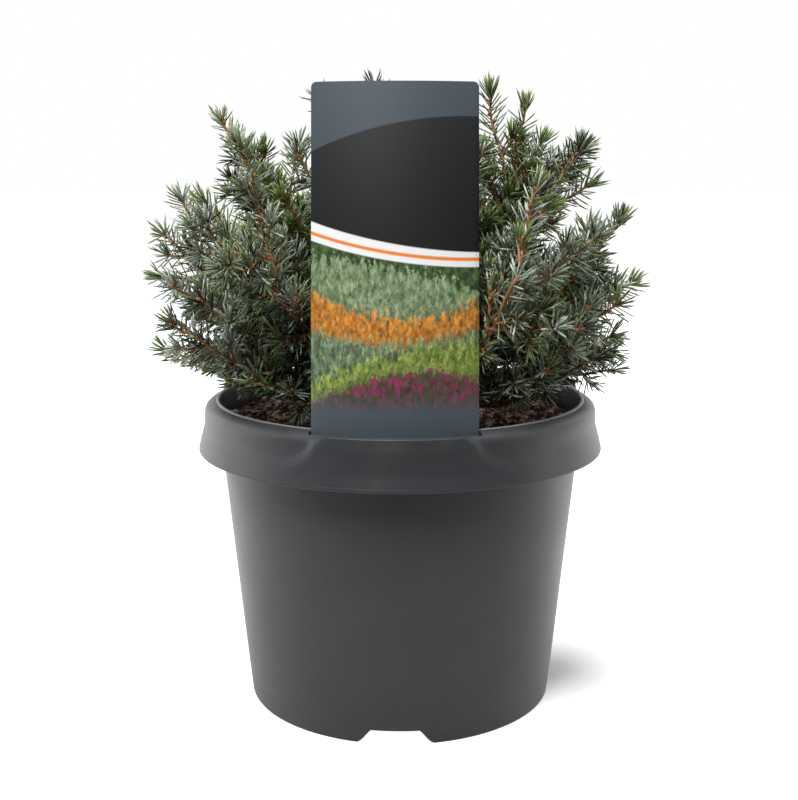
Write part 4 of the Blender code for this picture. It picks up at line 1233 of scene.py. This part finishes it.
def bough_curve(heading, foot_z):
    """A bough's start, bend and end, and its foot's radius."""
    end = HEART + heading * BOUGH_END
    if foot_z is None:
        foot = TRUNK_TIP * 0.92
        slant = (end - TRUNK_TOP).normalized()
        start = TRUNK_TOP + Vector((0, 0, GAP + foot * slant.xy.length))
        return start, start.lerp(end, 0.5), end, foot
    level = Vector((heading.x, heading.y, 0.0)).normalized()
    middle, radius = trunk_at(foot_z)
    start = middle + level * (radius + GAP)
    return start, start.lerp(end, 0.5) - Vector((0, 0, BOUGH_BOW)), end, BOUGH_FOOT


def outline_headings():
    """Headings of the shoots that make the outline on the right and the left."""
    headings = []
    for table, bearing in ((REACH_RIGHT, 0.0), (REACH_LEFT, math.pi)):
        for place, (rise, far) in enumerate(table):
            aside = OUTLINE_STAGGER * (1 if place % 2 else -1)
            if math.radians(rise) > LOWEST_SHOOT:
                headings.append(direction(bearing + aside, math.radians(rise)))
    return headings


def shoot_headings(chance):
    """(heading, share of the reach) of each shoot: the outline's, then others spread over the
    rest of the crown by the golden angle, each a little off."""
    low = math.sin(LOWEST_SHOOT)
    outline = outline_headings()
    shoots = [(heading, 1.0) for heading in outline]
    for number in range(SHOOT_COUNT):
        rise = math.asin(low + (1.0 - low) * (number + 0.5) / SHOOT_COUNT)
        bearing = GOLDEN_TURN * number + chance.uniform(-1, 1) * SHOOT_JITTER
        heading = direction(bearing, rise + chance.uniform(-1, 1) * SHOOT_JITTER / 2)
        full = chance.uniform(SHOOT_LEAST_FULL, 1.0)
        if all(heading.angle(edge) > OUTLINE_ROOM for edge in outline):
            shoots.append((heading, full))
    return shoots


def stem_curve(bough, heading):
    """The mass's own stem, from just past its bough's tip, as start, bend and end."""
    last = bough[2]
    ahead = (last - curve_point(*bough[:3], 0.75)).normalized()
    start = last + ahead * (GAP + 0.0002)
    length = max(STEM_LEAST, reach(heading) - STEM_SHORT - BOUGH_END)
    return start, start + ahead * length * 0.5, HEART + heading * (BOUGH_END + length)


def twig_curve(stem, heading, tip):
    """A twig's start and bend, leaving the stem at the shoots' own angle."""
    offset = tip - HEART
    along = offset.dot(heading)
    across = (offset - heading * along).length
    foot_far = along - across / math.tan(SHOOT_SPREAD)
    stem_start = (stem[0] - HEART).length
    stem_end = (stem[2] - HEART).length
    least, most = TWIG_FOOT_SHARES
    share = min(most, max(least, (foot_far - stem_start) / (stem_end - stem_start)))
    start = curve_point(*stem, share)
    middle = start.lerp(tip, 0.5)
    outwards = (middle - HEART).normalized()
    sideways = (tip - start).normalized()
    bow = (tip - start).length * TWIG_BOW
    return start, middle + (sideways - outwards * sideways.dot(outwards)) * bow


def fit_shoot(aim, full, heading, stem, cells):
    """A shoot's start, bend and tip, drawn in towards the cell's middle until its core has
    room. None if it finds none."""
    room = reach(aim) * full - BOUGH_END
    for attempt in range(SHOOT_TRIES):
        if room < SHOOT_SHORTEST:
            return None
        tip = HEART + aim * (BOUGH_END + room)
        start, bend = twig_curve(stem, heading, tip)
        last = tip - (tip - bend).normalized() * TIP_NEEDLE
        checks = [curve_point(start, bend, last, share) for share in CORE_CHECKS]
        if tip.z > crown_floor(tip.x, tip.y) and all(
                is_clear(point, heading, cells, SPRAY_RADIUS) for point in checks):
            return start, bend, tip
        aim = (aim * AIM_KEPT + heading * (1 - AIM_KEPT)).normalized()
        room = min(room, reach(aim) - BOUGH_END) * SHOOT_SHRINK
    return None


# Finer growth

Twig = namedtuple("Twig", "start bend end foot tip bare kind fresh")


def fine_headings(chance):
    """More shoots, set deeper in the crown."""
    low = math.sin(LOWEST_SHOOT)
    shoots = []
    for number in range(FINE_COUNT):
        rise = math.asin(low + (1.0 - low) * (number + 0.25) / FINE_COUNT)
        bearing = GOLDEN_TURN * number + 1.1 + chance.uniform(-1, 1) * SHOOT_JITTER
        heading = direction(bearing, rise + chance.uniform(-1, 1) * SHOOT_JITTER)
        shoots.append((heading, chance.uniform(*FINE_FULL)))
    return shoots


def side_twigs(parent, length, chance, first_share, last_share):
    """Side twigs of a shoot, set round it by the golden angle and bent outwards."""
    made = []
    count = max(1, round(length * (last_share - first_share) / LATERAL_STEP))
    turn = chance.uniform(0, FULL_TURN)
    for number in range(count):
        share = mix(first_share, last_share, (number + chance.uniform(*LATERAL_PLACES)) / count)
        foot = curve_point(parent.start, parent.bend, parent.end, share)
        nearby = curve_point(parent.start, parent.bend, parent.end, min(1.0, share + 0.05))
        ahead = (nearby - foot).normalized()
        turn += GOLDEN_TURN
        side = ahead.orthogonal().normalized()
        around = side * math.cos(turn) + ahead.cross(side) * math.sin(turn)
        outwards = (foot - HEART).normalized()
        lean = chance.uniform(*LATERAL_LEAN)
        aim = ahead * math.cos(lean) + around * math.sin(lean) + outwards * LATERAL_OUTWARDS
        drop = LATERAL_DROP if foot.z < HEART.z + LOW_WOOD else 0.0
        aim = (aim - Vector((0, 0, drop))).normalized()
        long = mix(LATERAL_LONG, LATERAL_SHORT, share ** 0.8) * chance.uniform(*LATERAL_LENGTHS)
        long = min(long, length * LATERAL_SHARE)
        for attempt in range(LATERAL_TRIES):
            tip = foot + (aim + outwards * LATERAL_TURN_OUT).normalized() * long
            offset = tip - HEART
            if offset.length < reach(offset.normalized()) - 0.001 and off_neighbours(tip, -0.0008):
                break
            long *= LATERAL_SHRINK
        if long < LATERAL_LEAST or not off_neighbours(foot.lerp(tip, 0.6)):
            continue
        if tip.z < crown_floor(tip.x, tip.y) + SIDE_TWIG_CLEAR:
            continue
        wood = tip - (tip - foot).normalized() * min(WOOD_TO_TIP, long * LATERAL_TIP_SHARE)
        bend = foot + aim * long * LATERAL_BEND
        made.append(Twig(foot, bend, wood, *LATERAL_WOOD, LATERAL_BARE, "side", parent.fresh))
    return made


def shoot_twig(shoot, fresh):
    """The wood of a fitted shoot."""
    start, bend, tip = shoot
    wood = tip - (tip - bend).normalized() * WOOD_TO_TIP
    bare = max(0.0, 1.0 - SHOOT_CLOTHED / (tip - start).length)
    return Twig(start, bend, wood, *SHOOT_WOOD, bare, "shoot", fresh)


def inner_twigs(bough, chance):
    """Short twigs on the outer half of a bough, close to the heart, whose needles mostly get painted
    shade.
    """
    limb = Twig(*bough[:3], BOUGH_FOOT, BOUGH_TIP, 0.0, "stem", False)
    return [twig._replace(kind="inner")
            for twig in side_twigs(limb, BOUGH_END, chance, *INNER_SHARES)]


def hanging_sprays():
    """The short low sprays beside the card and the one that droops to the rim."""
    made = []
    for start, end, fresh in HANGING:
        start, end = Vector(start), Vector(end)
        bend = start.lerp(end, 0.5) + Vector((0, 0, (end - start).length * HANGING_BOW))
        made.append(Twig(start, bend, end, *LATERAL_WOOD, HANGING_BARE, "hanging", fresh))
    return made


def grow_crown():
    """All wood of the crown: boughs by name, then stems, shoots and side twigs."""
    chance = random.Random(CROWN_SEED)
    cells = crown_cells(chance)
    cell_headings = [heading for name, heading, foot_z in cells]
    headings = shoot_headings(chance)
    fine = random.Random(FINE_SEED)
    deeper = fine_headings(fine)
    boughs, stems, twigs = [], [], []
    for name, heading, foot_z in cells:
        bough = bough_curve(heading, foot_z)
        boughs.append((name, bough))
        stem = stem_curve(bough, heading)
        stems.append(Twig(*stem, *STEM_WOOD, 0.0, "stem", False))
        for aim, full in headings + deeper:
            if max(cell_headings, key=aim.dot) is not heading:
                continue
            shoot = fit_shoot(aim, full, heading, stem, cell_headings)
            if shoot is None or shoot[2].z < crown_floor(*shoot[2].xy) + SHOOT_CLEAR:
                continue
            on_outline = full == 1.0
            fresh = fine.random() < (FRESH_OUTLINE if on_outline else FRESH_DEEPER)
            twigs.append(shoot_twig(shoot, fresh))
            twigs += side_twigs(twigs[-1], (shoot[2] - shoot[0]).length, fine,
                                *(OUTLINE_SIDES if on_outline else SHOOT_SIDES))
        twigs += side_twigs(stems[-1], (stem[2] - stem[0]).length, fine, *STEM_SIDES)
        twigs += inner_twigs(bough, fine)
    twigs += hanging_sprays()
    return boughs, stems, twigs


# Wood

def curve_rows(twigs, shares):
    """Points and directions along many curves at once: (twigs, shares, 3) each."""
    start, bend, end = (np.array([getattr(twig, part) for twig in twigs])[:, None, :]
                        for part in ("start", "bend", "end"))
    at = np.asarray(shares)[None, :, None]
    points = start * (1 - at) ** 2 + bend * 2 * at * (1 - at) + end * at ** 2
    slopes = (bend - start) * (1 - at) + (end - bend) * at
    # A slight wobble, its swing set by where the twig starts
    along = end - start
    swing = TWIG_WOBBLE * np.cross(along, (0.31, 0.52, 0.80))
    phase = 7000 * (start[..., :1] + start[..., 1:2]) + WOBBLE_TURNS * at
    points = points + swing * (np.sin(phase) - np.sin(phase - WOBBLE_TURNS * at))
    slopes = slopes + swing * (WOBBLE_TURNS / 2) * np.cos(phase)
    slopes /= np.linalg.norm(slopes, axis=2, keepdims=True)
    return points, slopes


def across_of(slopes):
    """Two directions square to each slope, the first as level as can be."""
    up = np.zeros_like(slopes)
    up[..., 2] = 1.0
    steep = np.abs(slopes[..., 2]) > 0.97
    up[steep] = (1.0, 0.0, 0.0)
    side = np.cross(slopes, up)
    side /= np.linalg.norm(side, axis=-1, keepdims=True)
    return side, np.cross(side, slopes)


def tube_template(sides, rings):
    """A closed tube of unit radius: the angle and the ring of each point, and the faces."""
    bm = bmesh.new()
    bmesh.ops.create_circle(bm, cap_ends=True, radius=1.0, segments=sides)
    layer = bm.verts.layers.int.new("ring")
    edges = bm.edges[:]
    for ring in range(1, rings):
        fresh, edges = grow_edges(bm, edges)
        bmesh.ops.translate(bm, verts=fresh, vec=(0, 0, 1))
        for vert in fresh:
            vert[layer] = ring
    bmesh.ops.contextual_create(bm, geom=edges)
    bmesh.ops.recalc_face_normals(bm, faces=bm.faces)
    angles = np.array([math.atan2(vert.co.y, vert.co.x) for vert in bm.verts])
    places = np.array([vert[layer] for vert in bm.verts])
    return angles, places, template_of(bm)[1]


def tubes(twigs, sides, rings, roughness, chance):
    """Points of one tube for each twig, with a slightly uneven skin."""
    angles, places, faces = tube_template(sides, rings)
    middles, slopes = curve_rows(twigs, np.linspace(0, 1, rings))
    side, other = across_of(slopes)
    foot = np.array([twig.foot for twig in twigs])[:, None]
    tip = np.array([twig.tip for twig in twigs])[:, None]
    share = (places / (rings - 1))[None, :]
    radius = foot + (tip - foot) * share
    radius = radius * (1 + roughness * chance.uniform(-1, 1, radius.shape))
    spokes = (side[:, places] * np.cos(angles)[None, :, None]
              + other[:, places] * np.sin(angles)[None, :, None])
    return middles[:, places] + radius[..., None] * spokes, faces


def bark_relief(point):
    """How far bark stands out: long ridges with flakes."""
    ridges = noise.fractal(point * BARK_RIDGES, 1.0, 2.0, 3)
    flakes = noise.cell(point * BARK_FLAKES)
    return 0.55 * ridges + 0.45 * flakes


def limb_mesh(bm, curve, radii, sides, steps, depth):
    """One limb with bark relief, extruded ring by ring along its curve."""
    start, bend, end = curve
    ring = bmesh.ops.create_circle(bm, cap_ends=True, radius=1.0, segments=sides)["verts"]
    spokes = [vert.co.copy() for vert in ring]
    edges = list({edge for vert in ring for edge in vert.link_edges})
    for step in range(steps + 1):
        share = step / steps
        middle = curve_point(start, bend, end, share)
        ahead = (bend - start).lerp(end - bend, share).normalized()
        side = ahead.orthogonal().normalized()
        other = ahead.cross(side)
        if step:
            ring, edges = grow_edges(bm, edges)
        for vert, spoke in zip(ring, spokes):
            radius = radii(share, math.atan2(spoke.y, spoke.x))
            point = middle + (side * spoke.x + other * spoke.y) * radius
            vert.co = point + (point - middle).normalized() * depth * bark_relief(point)
    bmesh.ops.contextual_create(bm, geom=edges)


def build_bark(boughs, finish):
    """Trunk and boughs as one piece with the bark's relief."""
    bm = bmesh.new()

    def trunk_radius(share, turn):
        lobes = ROOT_LOBE_DEPTH * max(0.0, 1.0 - share / ROOT_LOBE_TOP)
        return from_table(TRUNK_TAPER, share) * (1.0 + lobes * math.cos(ROOT_LOBES * turn + 0.6))

    middle = TRUNK_FOOT.lerp(TRUNK_TOP, 0.5)
    limb_mesh(bm, (TRUNK_FOOT, middle, TRUNK_TOP), trunk_radius, *TRUNK_BARK)
    for name, (start, bend, end, foot) in boughs:
        limb_mesh(bm, (start, bend, end + (end - bend).normalized() * 0.001),
                  lambda share, turn: mix(foot, BOUGH_TIP_WOOD, share), *BOUGH_BARK)
    bmesh.ops.recalc_face_normals(bm, faces=bm.faces)
    nodes = ["trunk"] + ["bough_" + name for name, bough in boughs]
    add_piece("trunk_and_boughs", bm, finish, nodes, math.radians(180))


def build_twigs(stems, twigs, old_bark, young_bark, nodes):
    """Stems in dark bark, and shoots and side twigs in orange-brown bark."""
    chance = np.random.default_rng(WOOD_SEED)
    shoots = [twig for twig in twigs if twig.kind == "shoot"]
    sides = [twig for twig in twigs if twig.kind != "shoot"]
    groups = ((stems, old_bark), (shoots, young_bark), (sides, young_bark))
    for (name, *fineness), (group, finish) in zip(TWIG_TUBES, groups):
        points, faces = tubes(group, *fineness, chance)
        add_copies(name, points, faces, finish, nodes)


# Needles and buds

def needle_template():
    """A four-angled needle, one long and wide: narrow foot, full middle, drawn-out point."""
    foot, shoulder = 0.75, 0.76
    bm = bmesh.new()
    bmesh.ops.create_circle(bm, cap_ends=True, radius=0.5, segments=4)
    bmesh.ops.scale(bm, vec=(foot, foot, 1), verts=bm.verts)
    verts, edges = grow_edges(bm, bm.edges[:])
    bmesh.ops.translate(bm, verts=verts, vec=(0, 0, shoulder))
    bmesh.ops.scale(bm, vec=(1.0 / foot, 1.0 / foot, 1), verts=verts)
    verts, edges = grow_edges(bm, edges)
    bmesh.ops.pointmerge(bm, verts=verts, merge_co=(0, 0, 1.0))
    bmesh.ops.recalc_face_normals(bm, faces=bm.faces)
    return template_of(bm)


def needle_rows(twig, chance):
    """Feet, directions, forward sides, lengths and nearness to the tip of one twig's needles."""
    length = (twig.end - twig.start).length
    clothed = length * (1 - twig.bare)
    pitch = NEEDLE_PITCH * NEEDLE_CLOSER.get(twig.kind, 1.0)
    count = max(NEEDLES_LEAST, int(clothed / pitch))
    share = twig.bare + (1 - twig.bare) * (np.arange(count) + chance.uniform(0, 1, count)) / count
    share = np.concatenate((share, 1 - chance.uniform(0, TIP_TUFT, TIP_NEEDLES) / length))
    points, slopes = curve_rows([twig], share)
    points, slopes = points[0], slopes[0]
    side, other = across_of(slopes)
    total = len(share)
    turn = GOLDEN_TURN * np.arange(total) + chance.uniform(*NEEDLE_TURNS, total)
    around = side * np.cos(turn)[:, None] + other * np.sin(turn)[:, None]
    lean = np.radians(chance.uniform(*NEEDLE_LEAN, total))
    near_tip = np.clip(1 - (1 - share) * length / TIP_STRETCH, 0, 1)
    lean = lean * (1 - TIP_LEAN_IN[twig.fresh] * near_tip)
    lean[count:] = np.radians(chance.uniform(*TUFT_LEAN[twig.fresh], TIP_NEEDLES))
    aim = slopes * np.cos(lean)[:, None] + around * np.sin(lean)[:, None]
    if twig.start.z < HEART.z + LOW_SPRAY:
        aim[:, 2] -= NEEDLE_SAG * (around[:, 2] < 0.3)
    else:
        aim[:, 2] += NEEDLE_LIFT
    aim += chance.normal(0, NEEDLE_SCATTER, aim.shape)
    aim /= np.linalg.norm(aim, axis=1, keepdims=True)
    long = NEEDLE_LONG * chance.uniform(*NEEDLE_LENGTHS, total)
    if twig.kind != "shoot":
        long *= SIDE_NEEDLE_LONG
    radius = twig.foot + (twig.tip - twig.foot) * share
    feet = points + around * (radius * NEEDLE_SINK)[:, None]
    forward = slopes - aim * np.sum(slopes * aim, axis=1, keepdims=True)
    forward /= np.maximum(1e-6, np.linalg.norm(forward, axis=1, keepdims=True))
    return feet, aim, forward, long, near_tip


def room_for(points):
    """Which points are off the pot, the soil and the card."""
    x, y, z = points[:, 0], points[:, 1], points[:, 2]
    radius = np.hypot(x, y)
    over_pot = np.where(radius < COLLAR_RADIUS + TIP_CLEAR, LIP_Z + TIP_LIP_CLEAR, COLLAR_EDGE_Z)
    inner = wall_radius(LIP_Z) - WALL - TIP_CLEAR
    free = z > np.where(radius < inner, SOIL_HEART_Z + TIP_CLEAR, over_pot)
    by_card = np.abs(x - card_middle_x()) < CARD_HALF_WIDTH + TIP_SIDE_CLEAR
    sag = CARD_BEND - np.sqrt(np.maximum(0.0, CARD_BEND ** 2 - np.minimum(np.abs(x), 0.05) ** 2))
    not_over = z < CARD_SEAT_Z + CARD_ABOVE * math.cos(CARD_LEAN) + 0.001
    return free & ~(by_card & not_over & (y < card_y(z) + sag + TIP_CLEAR))


def inside_reach(points, spare):
    """Which points stay within the solids' reach, with a little to spare."""
    kept = np.ones(len(points), bool)
    for place, point in enumerate(points):
        offset = Vector(point) - HEART
        if offset.length > INNER_CROWN:
            kept[place] = offset.length < reach(offset.normalized()) + spare
    return kept


def deal_shades(twig, near_tip, chance):
    """Shade of each needle of a twig: one for the spray, with strays, and a fresh tip."""
    names = [row[0] for row in NEEDLE_SHADES]
    weights = np.array([row[3] for row in NEEDLE_SHADES])
    weights /= weights.sum()
    count = len(near_tip)
    shade = np.full(count, chance.choice(len(names), p=weights))
    # Hanging sprays sit in shade low in the crown, so each spray's needles start all pale or all
    # sage, half and half: painted light
    if twig.kind == "hanging":
        shade[:] = names.index("pale" if chance.random() < 0.5 else "sage")
    # Twigs close to the heart get the near-black colour: painted shade
    elif ((twig.start + twig.end) / 2 - HEART).length < PAINTED_SHADE_DEPTH:
        shade[:] = names.index("dark_and_painted_shade")
    strays = chance.random(count) < STRAY_SHARE
    shade[strays] = chance.choice(len(names), size=strays.sum(), p=weights)
    if twig.fresh:
        tip_share = near_tip > (0.02 if twig.kind == "shoot" else 0.35)
        shade[tip_share & (chance.random(count) < FRESH_TIP_SHARE)] = names.index("fresh")
    return shade


def needle_points(shape, feet, aim, forward, long, chance):
    """Points of one twig's needles, each slightly curled."""
    width = NEEDLE_WIDE * chance.uniform(*NEEDLE_WIDTHS, len(feet))
    across, thick, along = (shape[None, :, axis:axis + 1] for axis in range(3))
    curl = NEEDLE_CURL * along ** 2
    side = np.cross(aim, forward)
    return (feet[:, None, :] + aim[:, None, :] * (along * long[:, None, None])
            + side[:, None, :] * (across * width[:, None, None])
            + forward[:, None, :] * (thick * NEEDLE_THICK + curl * long[:, None, None]))


def build_needles(twigs, nodes):
    """All needles, dealt to shades by spray and joined shade by shade."""
    chance = np.random.default_rng(NEEDLE_SEED)
    shape, faces = needle_template()
    piles = [[] for row in NEEDLE_SHADES]
    for twig in twigs:
        feet, aim, forward, long, near_tip = needle_rows(twig, chance)
        tips = feet + aim * long[:, None]
        keep = room_for(tips) & room_for(feet + aim * long[:, None] * 0.5)
        keep &= inside_reach(tips, SHOOT_SPARE if twig.kind == "shoot" else SIDE_SPARE)
        if twig.kind != "hanging":
            keep &= tips[:, 2] > crown_floor(tips[:, 0], tips[:, 1]) + NEEDLE_CLEAR
        shade = deal_shades(twig, near_tip, chance)
        points = needle_points(shape, feet, aim, forward, long, chance)
        for number, pile in enumerate(piles):
            pile.append(points[keep & (shade == number)])
    for (name, colour, roughness, weight), pile in zip(NEEDLE_SHADES, piles):
        finish, tree, shader = shader_tree("needle_" + name, colour, roughness)
        shader.inputs["Specular IOR Level"].default_value = 0.45
        add_copies("needles_" + name, np.concatenate(pile), faces, finish, nodes,
                   smooth=False)


def bud_template():
    """A pointed egg of a bud."""
    bm = bmesh.new()
    bmesh.ops.create_uvsphere(bm, u_segments=6, v_segments=4, radius=0.5)
    bmesh.ops.scale(bm, vec=(1, 1, 1.5), verts=bm.verts)
    for vert in bm.verts:
        if vert.co.z > 0:
            squeeze = 1 - BUD_POINTED * (vert.co.z / 0.75) ** 2
            vert.co.x *= squeeze
            vert.co.y *= squeeze
    return template_of(bm)


def bud_places(twig, chance):
    """Share of the twig's length and size of each of its buds and scaly collars."""
    places = [(1.0, chance.uniform(*TIP_BUD))]
    if twig.kind == "shoot" or chance.random() < BESIDE_CHANCE:
        places += [(BESIDE_PLACE, chance.uniform(*BESIDE_BUD)) for beside in range(2)]
    if twig.kind == "side" and chance.random() < FOOT_CHANCE:
        places.append((FOOT_PLACE, chance.uniform(*FOOT_BUD)))
    if twig.kind == "shoot":
        places += [(share, chance.uniform(*SHOOT_BUD)) for share in chance.uniform(*SHOOT_PLACES)]
    return places


def build_buds(twigs, finish, nodes):
    """Buds at the twigs' tips and scaly collars where side twigs start."""
    chance = np.random.default_rng(BUD_SEED)
    shape, faces = bud_template()
    made = []
    for twig in twigs:
        for share, size in bud_places(twig, chance):
            points, slopes = curve_rows([twig], [share])
            side, other = across_of(slopes)
            turn = chance.uniform(0, FULL_TURN)
            around = side[0, 0] * math.cos(turn) + other[0, 0] * math.sin(turn)
            lean, out = TIP_BUD_STANCE if share > BESIDE_PLACE else SIDE_BUD_STANCE
            aim = slopes[0, 0] * math.cos(lean) + around * math.sin(lean)
            first = np.cross(aim, around)
            first /= np.linalg.norm(first)
            second = np.cross(first, aim)
            foot = points[0, 0] + around * out
            made.append(foot + size * (aim * (shape[:, 2:3] + BUD_RAISED) + first * shape[:, 0:1]
                                       + second * shape[:, 1:2]))
    add_copies("buds", np.array(made), faces, finish, nodes)


# Stage

def build_floor():
    """Floor that shows white past a painted patch of shadow, is painted dark far in front as shade
    for the pot to reflect, and throws light forward from behind.
    """
    bm = bmesh.new()
    bmesh.ops.create_grid(bm, x_segments=1, y_segments=1, size=FLOOR_SIZE)
    mesh = mesh_of("floor", bm)
    finish, tree, shader = shader_tree("floor_white", FLOOR_DARK_AND_PALE[1], 0.9)
    shader.inputs["Specular IOR Level"].default_value = 0.0
    shader.inputs["Emission Strength"].default_value = 1.0
    place = object_place(tree)
    # The glow for the eye fades out near the pot's foot: painted shadow
    past_painted_shadow = ramp(tree, distance_to(tree, place, PAINTED_SHADOW_PLACE), *PAINTED_SHADOW_REACH)
    depth = split(tree, "ShaderNodeSeparateXYZ", place)["Y"]
    behind = ramp(tree, depth, BOUNCE_START, BOUNCE_FULL, 0.0, BOUNCE)
    # Dark far in front: painted shade for the pot to reflect below its collar
    shade = colour_mix(tree, ramp(tree, depth, *PAINTED_DARK_EDGE), *FLOOR_DARK_AND_PALE)
    tree.links.new(shade, shader.inputs["Base Color"])
    seen = tree.nodes.new("ShaderNodeLightPath").outputs["Is Camera Ray"]
    tree.links.new(value_mix(tree, seen, behind, past_painted_shadow), shader.inputs["Emission Color"])
    mesh.materials.append(finish)
    new_object("floor", mesh)


def build_lamps():
    """Soft lights round and over the pot."""
    for name, place, target, width, height, watts in LAMPS:
        lamp = bpy.data.lights.new(name, "AREA")
        lamp.shape = "RECTANGLE"
        lamp.size = width
        lamp.size_y = height
        lamp.energy = watts
        made = new_object(name, lamp)
        made.location = place
        made.rotation_euler = (Vector(target) - Vector(place)).to_track_quat("-Z", "Y").to_euler()
        made.visible_camera = False


def build_world():
    """A white backdrop for the eye, and a weak fill for everything else."""
    world = bpy.data.worlds.new("studio")
    world.use_nodes = True
    tree = world.node_tree
    backdrop = tree.nodes["Background"]
    fill = tree.nodes.new("ShaderNodeBackground")
    for node, strength in ((backdrop, 1.0), (fill, WORLD_FILL)):
        node.inputs["Color"].default_value = (1, 1, 1, 1)
        node.inputs["Strength"].default_value = strength
    either = tree.nodes.new("ShaderNodeMixShader")
    seen = tree.nodes.new("ShaderNodeLightPath").outputs["Is Camera Ray"]
    for place, output in enumerate((seen, fill.outputs[0], backdrop.outputs[0])):
        tree.links.new(output, either.inputs[place])
    tree.links.new(either.outputs[0], tree.nodes["World Output"].inputs["Surface"])
    bpy.context.scene.world = world
    bpy.context.scene.view_settings.view_transform = "Standard"


def build_camera():
    """The camera at the photo's viewpoint."""
    eye = bpy.data.cameras.new("camera")
    eye.lens = CAMERA_LENS
    eye.sensor_width = 36.0
    eye.sensor_fit = "AUTO"
    camera = new_object("camera", eye)
    camera.location = CAMERA_PLACE
    camera.rotation_euler = (math.pi / 2 - CAMERA_PITCH, 0.0, 0.0)
    bpy.context.scene.camera = camera


def main():
    """The stage, the pot with its compost and card, then the plant."""
    build_floor()
    build_lamps()
    build_world()
    build_camera()
    grain = grain_group()
    build_pot(pot_material(grain))
    build_soil(mottled(grain, *DARK_PEAT))
    build_chips(grain)
    build_card(card_material())
    boughs, stems, twigs = grow_crown()
    limbs = [Twig(*bough[:3], BOUGH_FOOT, BOUGH_TIP_WOOD, LIMB_BARE, "stem", False)
             for name, bough in boughs]
    foliage = ["foliage_" + name for name, bough in boughs]
    old_bark = limb_material(grain)
    build_bark(boughs, old_bark)
    build_twigs(stems, twigs, old_bark, mottled(grain, *YOUNG_BARK), foliage)
    build_needles(limbs + stems + twigs, foliage)
    build_buds(twigs, mottled(grain, *BUD_BROWN), foliage)


main()
